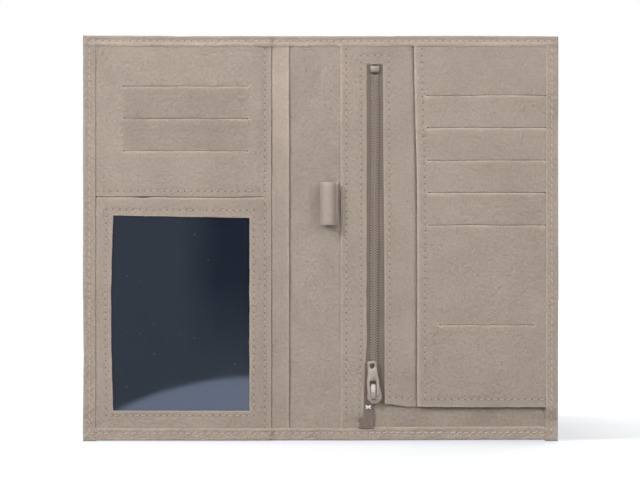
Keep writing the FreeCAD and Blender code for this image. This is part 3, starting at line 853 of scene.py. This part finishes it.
PANEL_LOW, PANEL_HIGH = HEM + 0.6, HEIGHT - HEM - 0.6
DOCUMENT_Z = span("window_backing")[2][1] - 4.9  # mouth of the document pocket
WINDOW = (FILM[0][0] + FILM_LAP, FILM[0][1] - FILM_LAP, FILM[2][0] + FILM_LAP, FILM[2][1] - FILM_LAP)


BOW_END_X = -80  # only the window's left edge bows, so the bow stops here


def build_slip_panel():
    edge_x = SLIP[0][1]

    def height(x, z):
        return SLIP_H + 0.5 * np.exp((x - edge_x) / 3.5) * smooth(z, 8, 40) * smooth(HEIGHT - z, 8, 40)

    def tone_and_painted_light(x, z):
        # a painted sheen, lighter over the upper part of the strip
        return 0.55 * smooth(z, HEIGHT * 0.5, HEIGHT * 0.9)

    x_range = (SLIP[0][0], edge_x - 0.1)
    sheet = Sheet(x_range, SLIP[2], SLIP_T, height, seed=70, flare=EDGE_FLARE, tone_and_painted_light=tone_and_painted_light)
    panel("slip_pocket", sheet, "left_half", "slip_panel")


def build_left_panel():
    edge_x = LEFT_PANEL[0][1]
    card_slits = slits_from([f"left_card_liner_{n}" for n in (1, 2, 3)])
    mouth = (LEFT_PANEL[0][0] + 5.8, edge_x - 4.1, DOCUMENT_Z)
    frame_x = (WINDOW[0] - 3.2, WINDOW[1] + 2.3)
    frame_z = (WINDOW[2] - 2.6, WINDOW[3] + 3.3)
    sewn_x = edge_x - 3.4
    rows = [
        upright_row(sewn_x, PANEL_LOW, PANEL_HIGH),
        level_row(DOCUMENT_Z + 3.1, 4.0 - HALF_WIDTH + HEM - 3, sewn_x - 3),
        upright_row(frame_x[0], *frame_z),
        upright_row(frame_x[1], *frame_z),
        level_row(frame_z[0], *frame_x),
        level_row(frame_z[1], *frame_x),
    ]

    def height(x, z):
        dip = 1.0 * smooth(x, edge_x - 9, edge_x - 1)
        frame_press = 0.25 * falloff(np.maximum(outside(x, z, WINDOW), 0), 4)
        return LEFT_H - dip - frame_press

    wander_slits = wander(card_slits + [mouth], 80)

    def bend(x, z):
        """Slits wander, the document pocket gapes near its left end, and the window's edge is rough."""
        x, moved = wander_slits(x, z)
        below = np.maximum(DOCUMENT_Z - z, 0)
        gape = 0.12 + 0.4 * hump(x - mouth[0] - 25, 4)
        gape = gape * falloff(below, 1.5) * (z < DOCUMENT_Z)
        away = np.maximum(outside(x, z, WINDOW), 0)
        rough = falloff(away, 1.2)
        rough_x = (0.1 * ripple(0 * x, z, 91, 14) + 0.07 * ripple(0 * x, z, 93, 3)) * rough
        rough_z = (0.08 * ripple(x, 0 * z, 92, 16) + 0.06 * ripple(x, 0 * z, 94, 3)) * rough
        up = np.clip((z - WINDOW[2]) / (WINDOW[3] - WINDOW[2]), 0, 1)
        bow = falloff(away, 4) * (0.8 - 1.1 * np.sin(up * math.pi)) * (x < BOW_END_X)
        slope = -0.017 * (x - WINDOW[0]) * falloff(abs(z - WINDOW[3]), 4)
        slope *= smooth(x, WINDOW[0] - 3, WINDOW[0] + 3) * (1 - smooth(x, WINDOW[1], WINDOW[1] + 4))
        return x + rough_x + bow, moved - gape + rough_z + slope

    between = (card_slits[0][0], card_slits[0][1], card_slits[-1][2], card_slits[0][2])

    def tone_and_painted_light(x, z):
        """The leather between the slits is darker, and above the document pocket towards the left it carries
        a painted sheen.
        """
        between_slits = 1 - smooth(outside(x, z, between), -1.5, 3)
        return 0.1 * smooth(z, DOCUMENT_Z, DOCUMENT_Z + 15) * (1 - smooth(x, -40, edge_x)) - 0.3 * between_slits

    sheet = Sheet(
        LEFT_PANEL[0], LEFT_PANEL[2], PANEL_T, height, cuts=[WINDOW], slits=card_slits + [mouth], rows=rows,
        bend=bend, seed=75, flare=EDGE_FLARE, tone_and_painted_light=tone_and_painted_light,
    )
    panel("window_and_card_panel", sheet, "left_half", "window_card_panel")


CARD_EDGE_X = CARD_PANEL[0][0] + 1.7


def card_lean(z):
    """The card page's left edge leans in towards the top."""
    return -1.7 * smooth(z, 120, HEIGHT - 4)


def build_card_panel():
    left, low = CARD_EDGE_X, FLAP_LOW_Z
    slits = slits_from([f"right_card_liner_{n}" for n in range(1, 6)] + ["id_card_liner"])
    right = HALF_WIDTH - HEM - 0.4
    slits = [(x0, min(x1, right), z) for x0, x1, z in slits]
    rows = [upright_row(left + 4.0, low + 4.1, PANEL_HIGH), level_row(low + 4.1, left + 4.0, right)]

    def height(x, z):
        dip = 0.1 * (1 - smooth(x, left + 1, left + 9))
        return CARD_H - dip + page_lift(x, z)

    wander_slits = wander(slits, 110)

    def bend(x, z):
        """The left edge leans, and the lower edge isn't quite straight."""
        moved_x, moved_z = wander_slits(x, z)
        lean = card_lean(z) * (1 - smooth(x, left + 6, left + 30))
        return moved_x + lean, moved_z + 0.2 * ripple(x, 0 * z, 99, 60) * falloff(z - low, 6)

    def tone_and_painted_light(x, z):
        # a painted highlight along the left edge, where it faces the light
        return 0.7 * falloff(x - left, 0.6)

    sheet = Sheet(
        (left, CARD_PANEL[0][1]), CARD_PANEL[2], PANEL_T, height, slits=slits, rows=rows, bend=bend, seed=105,
        flare=EDGE_FLARE[::-1], tone_and_painted_light=tone_and_painted_light,
    )
    panel("card_page", sheet, "right_half", "card_panel")


def build_zip_panel():
    """The strip left of the zip and the flap right of it, cut from one sheet."""
    x_range, z_range = ZIP_PANEL[0], ZIP_PANEL[2]
    opening = (ZIP_X - ZIP_HALF, ZIP_X + ZIP_HALF, -HEIGHT, span("zip_bottom_stop")[2][1] + 0.7)
    below_flap = (ZIP_X, HALF_WIDTH + HEM, -HEIGHT, FLAP_LOW_Z)
    row_left, row_right, row_top = opening[0] - 3.1, opening[1] + 3.1, opening[3] + 4.6
    strip_edge = x_range[0]
    rows = [
        upright_row(strip_edge + 3.0, PANEL_LOW, PANEL_HIGH),
        upright_row(row_left, PANEL_LOW, row_top),
        level_row(row_top, row_left, row_right),
        upright_row(row_right, FLAP_LOW_Z + 4.4, row_top),
        level_row(FLAP_LOW_Z + 4.4, row_right, CARD_PANEL[0][0]),
    ]

    def height(x, z):
        middle = smooth(z, 9, 45) * smooth(HEIGHT - z, 9, 40)
        lift = 0.3 * falloff(x - strip_edge, 2.5) * middle
        valley = 0.8 * hump(x - CARD_EDGE_X - card_lean(z) - 0.3, 1.5)
        rim = 0.25 * falloff(np.maximum(x - opening[1], 0), 2.5) * middle
        flap = FLAP_H + page_lift(x, z) - valley + rim
        return np.where(x < ZIP_X, strip_height(x, z) + lift, flap)

    def bend(x, z):
        """The strip narrows at the bottom, and the flap's lower edge curves up towards the zip."""
        near_zip = falloff(np.maximum(ZIP_X - ZIP_HALF - x, 0), 5) * (x < ZIP_X)
        narrow = -2.0 * (1 - smooth(z, 0, 62)) * near_zip
        widen = 0.9 * (1 - smooth(z, 60, HEIGHT)) * falloff(x - opening[1], 9) * (x > ZIP_X)
        rise = 1.5 * (1 - smooth(x, opening[1], opening[1] + 15)) * falloff(z - FLAP_LOW_Z, 7)
        rise = rise * (x > ZIP_X) * (z >= FLAP_LOW_Z)
        rough = 0.1 * ripple(0 * x, z, 121, 12) * hump(x - opening[0], 2)
        return x + narrow + widen + rough, z + rise

    def tone_and_painted_light(x, z):
        # a painted highlight along the strip's left edge, where it faces the light
        return 0.8 * falloff(abs(x - strip_edge), 0.5) * smooth(z, HEM, HEIGHT)

    sheet = Sheet(
        x_range, z_range, ZIP_PANEL_T, height, cuts=[opening, below_flap], rows=rows, bend=bend, seed=115,
        edge=0.7, flare=EDGE_FLARE[::-1], tone_and_painted_light=tone_and_painted_light,
    )
    panel("zip_frame", sheet, "right_half", "zip_panel")


def build_rear_pocket():
    def height(x, z):
        low_part = (1 - smooth(z, FLAP_LOW_Z - 1, FLAP_LOW_Z + 4)) * smooth(z, 6, 15)
        return REAR_H + (0.8 * smooth(x, 32, 50) + 0.28 * ripple(x, z, 131, 16, 2.2)) * low_part

    def tone_and_painted_light(x, z):
        # painted shadow cast by the flap and card panel, deeper towards the right
        return -0.1 - 0.15 * smooth(x, 50, 100)

    sheet = Sheet(REAR[0], REAR[2], REAR_T, height, seed=130, tone_and_painted_light=tone_and_painted_light)
    panel("rear_pocket", sheet, "right_half", "rear_pocket_panel")


def flat_sheet(name, node, body, material, slot, amplitude=0.0, wavelength=20, step=3.0):
    """A plain cloth, board or film piece in its own place, with slight waviness."""
    x, y, z = span(node)

    def height(px, pz):
        return -y[0] + amplitude * ripple(px, pz, len(name), wavelength)

    attach(level_sheet(name, material, x, z, y[1] - y[0], height, step), body, slot, node)


def build_hidden_sheets():
    """Boards, pocket liners and the window's backing and film."""
    for side in ("left", "right"):
        flat_sheet(f"{side}_board", f"board_{side}", f"{side}_half", BOARD, "stiffening_board")
    for side, count, amplitude in (("left", 3, 0.02), ("right", 5, 0.004)):
        for number in range(1, count + 1):
            name, node = f"{side}_pocket_cloth_{number}", f"{side}_card_liner_{number}"
            flat_sheet(name, node, f"{side}_half", POCKET_CLOTH, "pocket_fabric", amplitude)
    flat_sheet("id_pocket_cloth", "id_card_liner", "right_half", POCKET_CLOTH, "pocket_fabric", 0.004)
    flat_sheet("window_back_cloth", "window_backing", "left_half", NAVY_CLOTH, "dark_lining_fabric", 0.05)
    flat_sheet("window_clear_film", "window_film", "left_half", FILM_CLEAR, "clear_film", 0.004, 60, 2.0)


# ---- Pen loop ----
def build_pen_loop():
    """A leather band wrapped into a drop shape, with its two ends together at the root."""
    (x0, x1), (y0, _), (z0, z1) = LOOP
    thickness = 0.8
    half_width, half_depth = 3.95, -y0 / 2 - thickness / 2
    centre = np.array([x0 + half_width + thickness / 2, y0 / 2 - 0.1])
    turn = np.radians(np.linspace(-38, 275, 44))
    ring = centre + np.stack([half_width * np.cos(turn), -half_depth * np.sin(turn)], -1)
    root = np.array([x1 - thickness / 4, 0])
    front_end, back_end = root - (0, 1.5 * thickness + 0.1), root - (0, thickness / 2 + 0.1)
    share = np.linspace(0, 1, 9)[:, None]
    path = np.concatenate([front_end + (ring[0] - front_end) * share[:-1], ring])
    path = np.concatenate([path, ring[-1] + (back_end - ring[-1]) * share[1:]])
    for _ in range(6):
        path[1:-1] = (path[:-2] + path[1:-1] * 2 + path[2:]) / 4
    step = np.gradient(path, axis=0)
    normal = np.stack([step[:, 1], -step[:, 0]], -1) / np.linalg.norm(step, axis=1)[:, None]
    heights = np.array([0, 0.12, 0.35, 0.8, 2.5, 6, 11.35])
    zs = np.concatenate([z0 + heights, (z1 - heights[:-1])[::-1]])
    from_end = np.minimum(zs - z0, z1 - zs)
    layers = []
    for sign in (1, -1):
        half = thickness / 2 - rounding(from_end, 0.4) * 0.9
        flare = 0.3 * falloff(from_end, 0.8) - 0.1 * hump(from_end - 2.2, 1.2)
        offset = (sign * half + flare)[None, :, None]
        flat = path[:, None, :] + normal[:, None, :] * offset
        level = np.broadcast_to(zs[None, :, None], flat.shape[:2] + (1,))
        layers.append(np.concatenate([flat, level], -1))
    vertices = np.concatenate([layer.reshape(-1, 3) for layer in layers])
    index = np.arange(layers[0].shape[0] * len(zs)).reshape(layers[0].shape[:2])
    kept = np.ones((index.shape[0] - 1, index.shape[1] - 1), bool)
    inner = index + index.size
    sides = [quads(index, kept), quads(inner, kept)[:, ::-1], walls(index, inner, kept, None)]
    wear = np.tile(falloff(from_end, 0.5), 2 * index.shape[0])
    obj = mesh_object("pen_loop_band", vertices, np.concatenate(sides), [LOOP_LEATHER], wear=wear)
    attach(obj, "spine", "panel_leather", "pen_loop")


# ---- Zip ----
def zip_lean(z):
    """The chain drifts a little to the left towards its lower end."""
    return -0.5 * (1 - smooth(z, 20, 180))


def lean_chain(x, z):
    return x + zip_lean(z), z


COIL_PITCH = 1.35
WIRE_R = 0.25
WIRE_SIDES = 6
WIRE_STEPS = 12  # rings along one turn of the wire
TAPE_RISE = 0.3  # the tapes lie forward where they are sewn to the leather, and sink towards the coil


def open_with_slider(obj):
    """Gives the piece a mesh of its own."""
    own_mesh(obj)


def build_tape(side, name):
    """Woven tape with a thicker cord along the edge that carries the coil."""
    x, y, z = span(f"zip_tape_{name}")
    inner = x[1] if side < 0 else x[0]
    coil_half = COIL[1][0][1] - ZIP_X

    def height(px, pz):
        cord = 0.25 * hump(px - inner, 0.5)
        out = abs(px - ZIP_X)
        covered = smooth(out, ZIP_HALF + 0.3, ZIP_HALF + 2)
        sewn = TAPE_RISE * smooth(out, coil_half, ZIP_HALF) * (1 - covered)
        return -y[0] + cord + sewn + 0.06 * ripple(px, pz, 141, 12)

    z_range = (z[0] if side < 0 else span("slider_body")[2][0] + 0.7, z[1])
    obj = level_sheet(
        f"woven_tape_{name}", TAPE_CLOTH, x, z_range, y[1] - y[0], height, step=0.8, edge=0.1, bend=lean_chain
    )
    attach(obj, "right_half", "zip_tape", f"zip_tape_{name}")
    open_with_slider(obj)


def build_tape_tail():
    """The end of the left tape, which shows below the stops."""
    x, z = (REAR[0][0] - 2.9, REAR[0][0] + 0.4), (HEM - 1, TAPE[0][2][0] + 1)

    def height(px, pz):
        return 0.08 + 0 * px

    tail = level_sheet("woven_tape_tail", TAPE_CLOTH, x, z, 0.1, height, step=0.8, edge=0.05)
    attach(tail, "right_half", "zip_tape")


def flattened(value, power):
    """A sine or cosine whose curve has flatter tops."""
    return np.sign(value) * abs(value) ** power


def build_coil(side, name):
    """Half of the chain: a nylon wire in a flat spiral, whose turns reach between its partner's."""
    (x0, x1), (y0, y1), (z0, z1) = span(f"zip_coil_{name}")
    outer = abs((x0 if side < 0 else x1) - ZIP_X)
    half = (outer + 0.05) / 2 - WIRE_R / 2
    middle_x = ZIP_X + side * (outer - half - WIRE_R)
    middle_y = (y0 + y1) / 2
    depth = (y1 - y0) / 2 - WIRE_R
    t = np.arange(int((z1 - z0) / COIL_PITCH) * WIRE_STEPS) / WIRE_STEPS
    angle = math.tau * t + (math.pi if side < 0 else 0)
    x = middle_x + side * half * flattened(np.cos(angle), 0.8)
    y = middle_y - depth * flattened(np.sin(angle), 0.7)
    z = z0 + t * COIL_PITCH
    centre = np.stack([x + zip_lean(z), y, z], -1)
    forward = np.gradient(centre, axis=0)
    forward /= np.linalg.norm(forward, axis=1)[:, None]
    first = np.cross(forward, [0.0, 0.0, 1.0])
    first /= np.linalg.norm(first, axis=1)[:, None]
    second = np.cross(forward, first)
    around = (np.arange(WIRE_SIDES) / WIRE_SIDES * math.tau)[None, :, None]
    ring = first[:, None] * np.cos(around) + second[:, None] * np.sin(around)
    vertices = (centre[:, None] + WIRE_R * ring).reshape(-1, 3)
    obj = mesh_object(f"nylon_coil_{name}", vertices, tube_faces(len(t), WIRE_SIDES), [COIL_NYLON])
    attach(obj, "right_half", "zip_coil", f"zip_coil_{name}")
    open_with_slider(obj)


def build_zip_bag():
    """The zip compartment's lining: a thin cloth bag whose back shows between the open tapes."""
    x, y, z = span("zip_bag")
    front_x = TAPE[1][0][1] + 0.3
    for name, low_x, depth, nodes in (
        ("zip_bag_back", x[0], y[1] - 0.5, ["zip_bag"]),
        ("zip_bag_front", front_x, y[0] + 0.02, []),
    ):

        def height(px, pz, depth=depth):
            return -depth + 0.02 * ripple(px, pz, 151, 30)

        obj = level_sheet(name, POCKET_CLOTH, (low_x, x[1]), z, 0.12, height)
        attach(obj, "right_half", "pocket_fabric", *nodes)


def rounded_block(name, x, y, z, radius, material, tilt=0.0):
    """A block with all its edges rounded, turned by tilt about its middle in the XZ plane."""
    mesh = bmesh.new()
    bmesh.ops.create_cube(mesh, size=1.0)
    size = Vector((x[1] - x[0], y[1] - y[0], z[1] - z[0]))
    bmesh.ops.scale(mesh, vec=size, verts=mesh.verts)
    bmesh.ops.bevel(mesh, geom=mesh.edges[:], offset=radius, segments=3, profile=0.5, affect="EDGES")
    turn = Matrix.Rotation(tilt, 3, "Y")
    middle = Vector(((x[0] + x[1]) / 2, (y[0] + y[1]) / 2, (z[0] + z[1]) / 2))
    vertices = [tuple(turn @ v.co + middle) for v in mesh.verts]
    faces = [[v.index for v in f.verts] for f in mesh.faces]
    mesh.free()
    return mesh_object(name, vertices, faces, [material])


def plate(name, outline, holes, bevel, thickness, place, material):
    """A flat plate with rounded edges, from an outline and holes in the plate's own (u, v) plane.

    place(u, v, w) gives the point in the shared frame, where w runs through the thickness from 0.
    """
    curve = bpy.data.curves.new(name, "CURVE")
    curve.dimensions = "2D"
    curve.fill_mode = "BOTH"
    curve.extrude = thickness / 2 - bevel
    curve.bevel_depth = bevel
    curve.bevel_resolution = 2
    curve.offset = -bevel
    for loop in [outline] + holes:
        spline = curve.splines.new("POLY")
        spline.points.add(len(loop) - 1)
        for point, (u, v) in zip(spline.points, loop):
            point.co = (u, v, 0, 1)
        spline.use_cyclic_u = True
    temp = bpy.data.objects.new(name, curve)
    bpy.context.scene.collection.objects.link(temp)
    bpy.context.view_layer.update()
    mesh = bpy.data.meshes.new_from_object(temp.evaluated_get(bpy.context.evaluated_depsgraph_get()))
    vertices = [place(v.co.x, v.co.y, v.co.z + thickness / 2) for v in mesh.vertices]
    faces = [list(polygon.vertices) for polygon in mesh.polygons]
    bpy.data.objects.remove(temp)
    bpy.data.curves.remove(curve)
    bpy.data.meshes.remove(mesh)
    obj = mesh_object(name, vertices, faces, [material])
    tidy = bmesh.new()
    tidy.from_mesh(obj.data)
    bmesh.ops.remove_doubles(tidy, verts=tidy.verts, dist=0.01 * MM)
    bmesh.ops.recalc_face_normals(tidy, faces=tidy.faces)
    tidy.to_mesh(obj.data)
    tidy.free()
    sharpen(obj)
    return obj


def sharpen(obj, angle=math.radians(40)):
    """Keeps flat faces flat: smooth shading stops at edges sharper than this."""
    mesh = bmesh.new()
    mesh.from_mesh(obj.data)
    for edge in mesh.edges:
        edge.smooth = len(edge.link_faces) == 2 and edge.calc_face_angle(0) < angle
    mesh.to_mesh(obj.data)
    mesh.free()


def rounded_outline(points, radius, steps=5):
    """A closed outline whose corners are turned into arcs."""
    result = []
    for number, corner in enumerate(points):
        before, after = points[number - 1], points[(number + 1) % len(points)]
        corner, before, after = Vector(corner), Vector(before), Vector(after)
        into, out = (before - corner).normalized(), (after - corner).normalized()
        half_angle = into.angle(out) / 2
        room = 0.49 * min((before - corner).length, (after - corner).length)
        cut = min(radius / math.tan(half_angle), room)
        start, end = corner + into * cut, corner + out * cut
        for step in range(steps + 1):
            t = step / steps
            point = (1 - t) ** 2 * start + 2 * t * (1 - t) * corner + t**2 * end
            result.append((point.x, point.y))
    return result


def circle(u, v, radius, steps=24):
    return [(u + radius * math.cos(a), v + radius * math.sin(a)) for a in np.arange(steps) / steps * math.tau]


def mirrored(right_side):
    return right_side + [(-u, v) for u, v in reversed(right_side)]


PLATE_SHIFT, PLATE_WIDEN = 0.35, 1.06  # the plates sit right of the chain and are wider than the CAD's


def build_slider():
    """Slider body: two shield-shaped plates, side flanges and the arched bridge that carries the pull."""
    (x0, x1), (y0, y1), (z0, z1) = span("slider_body")
    half, middle = (x1 - x0) / 2, (x0 + x1) / 2 + zip_lean(z0)
    right_side = [(half * 0.45, z0), (half, z0 + 2.4), (half, z0 + 4.6)]
    right_side += [(half * 0.8, z1 - 0.9), (half * 0.5, z1)]
    shield = rounded_outline(mirrored(right_side), 0.9)
    front_y = COIL[0][1][0] - 0.85
    back_y = y1 - 0.67

    def across(u, v, w):
        return middle - 1.4 + w, v, u

    def facing_front(u, v, w):
        return middle + PLATE_SHIFT + PLATE_WIDEN * u, front_y + w, v

    def facing_back(u, v, w):
        return middle + PLATE_SHIFT + PLATE_WIDEN * u, back_y + w, v

    pieces = [
        plate("slider_front_plate", shield, [], 0.25, 0.75, facing_front, ZIP_METAL),
        plate("slider_back_plate", shield, [], 0.12, 0.35, facing_back, ZIP_METAL),
    ]
    root_y = front_y + 0.7
    bridge = [(z0 + 2.3, root_y), (z0 + 2.6, y0 + 0.2), (z0 + 6.5, y0), (z1 + 1.0, y0 + 0.6)]
    bridge = rounded_outline(bridge + [(z1 + 1.3, root_y)], 0.8)
    eye = rounded_outline(
        [
            (z0 + 3.4, front_y + 0.25),
            (z0 + 3.5, y0 + 0.5),
            (z0 + 6.5, y0 + 0.5),
            (z1 - 0.4, y0 + 1.0),
            (z1 - 0.3, front_y + 0.25),
        ],
        0.4,
    )
    pieces.append(plate("slider_bridge", bridge, [eye], 0.13, 2.2, across, BRIDGE_METAL))
    for side, name in ((-1, "left"), (1, "right")):
        x = sorted((middle + side * (half - 0.45), middle + side * (half - 0.05)))
        y, z = (front_y + 0.4, -2.35), (z0 + 2.4, z0 + 5.2)
        pieces.append(rounded_block(f"slider_flange_{name}", x, y, z, 0.2, ZIP_METAL))
    attach(pieces[0], "zip_slider", "zip_metal", "slider_body")
    for obj in pieces[1:]:
        attach(obj, "zip_slider", "zip_metal")


def build_pull():
    """Pull tab with a slot round the bridge and a hole near its tip, hanging slightly askew."""
    (x0, x1), (y0, y1), (z0, z1) = span("pull_tab")
    half, middle, thickness = (x1 - x0) / 2, (x0 + x1) / 2 + zip_lean(z0), y1 - y0
    askew = math.radians(-3.5)
    top = z1 - 1.7
    outline = mirrored(
        [(half - 1.0, z0), (half, z0 + 1.6), (half, z0 + 7.6), (half - 0.75, top - 6.0), (half - 0.9, top)]
    )
    slot = rounded_outline([(-1.6, z0 + 0.9), (1.6, z0 + 0.9), (1.7, z0 + 8.15), (-1.7, z0 + 8.15)], 0.6)
    hole = circle(0, top - 2.7, 1.3)

    def place(u, v, w):
        cos, sin, up = math.cos(askew), math.sin(askew), v - z0
        return middle + u * cos + up * sin, y0 + w, z0 + up * cos - u * sin

    obj = plate("pull_plate", rounded_outline(outline, 0.8), [slot, hole], 0.22, thickness, place, ZIP_METAL)
    attach(obj, "zip_pull", "zip_metal", "pull_tab")


def build_stops():
    """The metal box where the chain starts, and a crossed pair of clips at its other end."""
    box = rounded_block("chain_start_box", *span("zip_bottom_stop"), 0.45, BOX_METAL)
    attach(box, "right_half", "zip_metal", "zip_bottom_stop")
    (x0, _), y, (z0, _) = span("zip_top_stops")
    z = (z0 + 0.95, z0 + 1.95)
    for name, x, tilt, nodes in (
        ("left_end_clip", (x0 - 2.7, x0 + 0.5), 32, ["zip_top_stops"]),
        ("right_end_clip", (x0 - 2.6, x0 + 0.6), -34, []),
    ):
        clip = rounded_block(name, x, y, z, 0.32, CLIP_METAL, math.radians(tilt))
        attach(clip, "right_half", "zip_metal", *nodes)


# ---- Studio ----
CAMERA_DISTANCE = 2600.0
FRAME_WIDTH = 339.8  # how much the camera sees across, at the wallet
SENSOR = 36.0
CAMERA_X, CAMERA_UP = -0.3, -0.8  # from the middle of the wallet


def build_camera():
    """A long lens straight in front, level with the middle of the wallet."""
    data = bpy.data.cameras.new("camera")
    data.sensor_width = SENSOR
    data.lens = SENSOR * CAMERA_DISTANCE / FRAME_WIDTH
    camera = bpy.data.objects.new("camera", data)
    bpy.context.scene.collection.objects.link(camera)
    camera.location = (CAMERA_X * MM, -CAMERA_DISTANCE * MM, (HEIGHT / 2 + CAMERA_UP) * MM)
    camera.rotation_euler = (math.pi / 2, 0, 0)
    data.clip_start, data.clip_end = 0.05, 50
    bpy.context.scene.camera = camera


LAMP_AIM = (0, 0, 0.1)  # metres, a little below the middle of the wallet


def area_light(name, place, size, power):
    """A round lamp that points at the wallet. Places and sizes are in metres."""
    data = bpy.data.lights.new(name, "AREA")
    data.shape = "DISK"
    data.size, data.energy = size, power
    light = bpy.data.objects.new(name, data)
    bpy.context.scene.collection.objects.link(light)
    light.location = place
    light.rotation_euler = (Vector(LAMP_AIM) - Vector(place)).to_track_quat("-Z", "Y").to_euler()


def build_lights():
    """A key lamp high on the left, a fill on the right, one above the camera, and a wide one behind."""
    area_light("lamp_high_left", (-0.75, -0.8, 0.75), size=0.45, power=9.5)
    area_light("lamp_right", (0.66, -0.8, 0.5), size=0.4, power=3.5)
    area_light("lamp_front", (-0.25, -2.4, 0.72), size=0.4, power=10.8)
    area_light("lamp_behind", (0.35, 1.5, 1.3), size=0.9, power=24.0)


def build_world():
    """White to the camera, a dim room for matt surfaces, and a brighter one for what mirrors it."""
    world = bpy.data.worlds.new("studio")
    nodes = Nodes(world)
    path = nodes.add("LightPath").node.outputs
    seen, room, mirrored_room = (
        nodes.add("Background", {"Color": color, "Strength": strength})
        for color, strength in (((1, 1, 1, 1), 1.0), ((0.97, 0.98, 1, 1), 0.2), ((1, 0.99, 0.98, 1), 0.4))
    )
    mix = nodes.add("MixShader", {0: path["Is Glossy Ray"], 1: room, 2: mirrored_room})
    whole = nodes.add("MixShader", {0: path["Is Camera Ray"], 1: mix, 2: seen})
    nodes.add("OutputWorld", {"Surface": whole})
    bpy.context.scene.world = world


FLOOR_SHADE_REACH = 0.09  # metres over which painted shade dims the table round the wallet's foot
FLOOR_DROP = 0.05  # keeps the table just clear of the wallet's lower edge
FLOOR_REACH = 6000


def build_floor():
    """A white table top whose glow makes it bright enough to disappear, except in the wallet's soft shadow:
    partly cast by the lamps, partly painted shade in the glow near its foot and behind it.
    """
    material, nodes = new_material("white_table")
    camera_ray = nodes.add("LightPath", None, "Is Camera Ray")
    open_sky = nodes.add("AmbientOcclusion", {"Distance": FLOOR_SHADE_REACH}, "AO", samples=8)
    place = nodes.add("NewGeometry", None, "Position")
    parts = nodes.add("SeparateXYZ", {0: place}).node.outputs
    distance = nodes.vectors("LENGTH", place, out="Value")
    # the glow dims near the wallet's foot: painted contact shade
    glow = nodes.remap(open_sky, 0.33, 0.55)
    for value, start, end, gain in (
        (parts["Y"], 0.0, 0.04, -0.13),  # behind the wallet: painted shadow
        (parts["X"], 0.12, -0.14, 0.16),  # towards the left
        (parts["X"], 0.135, 0.18, 0.12),  # past the right edge
        (distance, 0.38, 0.9, 0.9),  # far from the wallet
    ):
        glow = nodes.math("ADD", glow, nodes.remap(value, 0.0, gain, start, end))
    shade, bright = (0.86, 0.92, 1.12), (0.965, 1.0, 1.02)
    # the painted shade is tinted blue
    tint = nodes.add("Mix", {0: open_sky, "A": shade, "B": bright}, 1, data_type="VECTOR")
    glow = nodes.math("MULTIPLY", glow, camera_ray)
    matt = {"Specular IOR Level": 0.0, "Emission Color": tint, "Emission Strength": glow}
    nodes.surface((0.5, 0.5, 0.5, 1), 0.9, matt)
    reach = FLOOR_REACH
    corners = [(-reach, -reach, 0), (reach, -reach, 0), (reach, reach, 0), (-reach, reach, 0)]
    floor = mesh_object("white_floor", corners, [[0, 1, 2, 3]], [material])
    floor.location.z = -FLOOR_DROP * MM
    floor.visible_glossy = False


REFLECTOR = (-81.9, -445.0)  # X and Z of the round reflector's middle, from the wallet's middle
REFLECTOR_R = 296.0
REFLECTOR_SOFT = 3.0  # its rim blurs over this far inwards and outwards


def build_reflected_room():
    """What the window's film mirrors back at the camera: a dim room and the rim of a round reflector."""
    name = "room_reflection"
    material, nodes = new_material("reflected_room")
    place = nodes.rest_place()
    shift = rest_shift(name)
    centre = (shift + REFLECTOR[0], 0.0, shift + HEIGHT / 2 + REFLECTOR[1])
    gap = nodes.vectors("DISTANCE", nodes.vectors("MULTIPLY", place, (1.0, 0.0, 1.0)), centre, out="Value")
    disc = nodes.remap(gap, 1.0, 0.0, REFLECTOR_R - REFLECTOR_SOFT, REFLECTOR_R + REFLECTOR_SOFT)
    parts = nodes.add("SeparateXYZ", {0: place}).node.outputs
    right = nodes.remap(parts["X"], 0.0, 1.0, shift - 150.0, shift - 110.0)
    high = nodes.remap(parts["Z"], 0.0, 1.0, shift - 30.0, shift + 70.0)
    wall = nodes.remap(nodes.math("MULTIPLY", right, high), 0.067, 0.004)
    wall_glow = nodes.add("Emission", {"Color": (0.94, 0.96, 1, 1), "Strength": wall})
    disc_glow = nodes.add("Emission", {"Color": (0.765, 0.8, 1, 1), "Strength": 0.44})
    glow = nodes.add("MixShader", {0: disc, 1: wall_glow, 2: disc_glow})
    nodes.add("OutputMaterial", {"Surface": glow})
    reach, depth = 700, -CAMERA_DISTANCE - 50
    low = -2 * reach
    corners = [(-reach, depth, low), (reach, depth, low), (reach, depth, reach), (-reach, depth, reach)]
    card = mesh_object(name, corners, [[0, 1, 2, 3]], [material])
    card.visible_camera = card.visible_diffuse = card.visible_shadow = card.visible_transmission = False


# ---- Everything ----
build_cover(-1, left_stack, "cover_leather_left", ["cover_left", "cover_spine"])
build_cover(1, right_stack, "cover_leather_right", ["cover_right"])
build_lining(-1, "lining_leather_left", ["lining_left", "lining_spine"])
build_lining(1, "lining_leather_right", ["lining_right"])
build_slip_panel()
build_left_panel()
build_rear_pocket()
build_zip_panel()
build_card_panel()
build_hidden_sheets()
build_pen_loop()
for zip_side, side_name in ((-1, "left"), (1, "right")):
    build_tape(zip_side, side_name)
    build_coil(zip_side, side_name)
build_tape_tail()
build_zip_bag()
build_slider()
build_pull()
build_stops()

build_world()
build_lights()
build_floor()
build_reflected_room()
build_camera()
bpy.context.scene.view_settings.view_transform = "Standard"
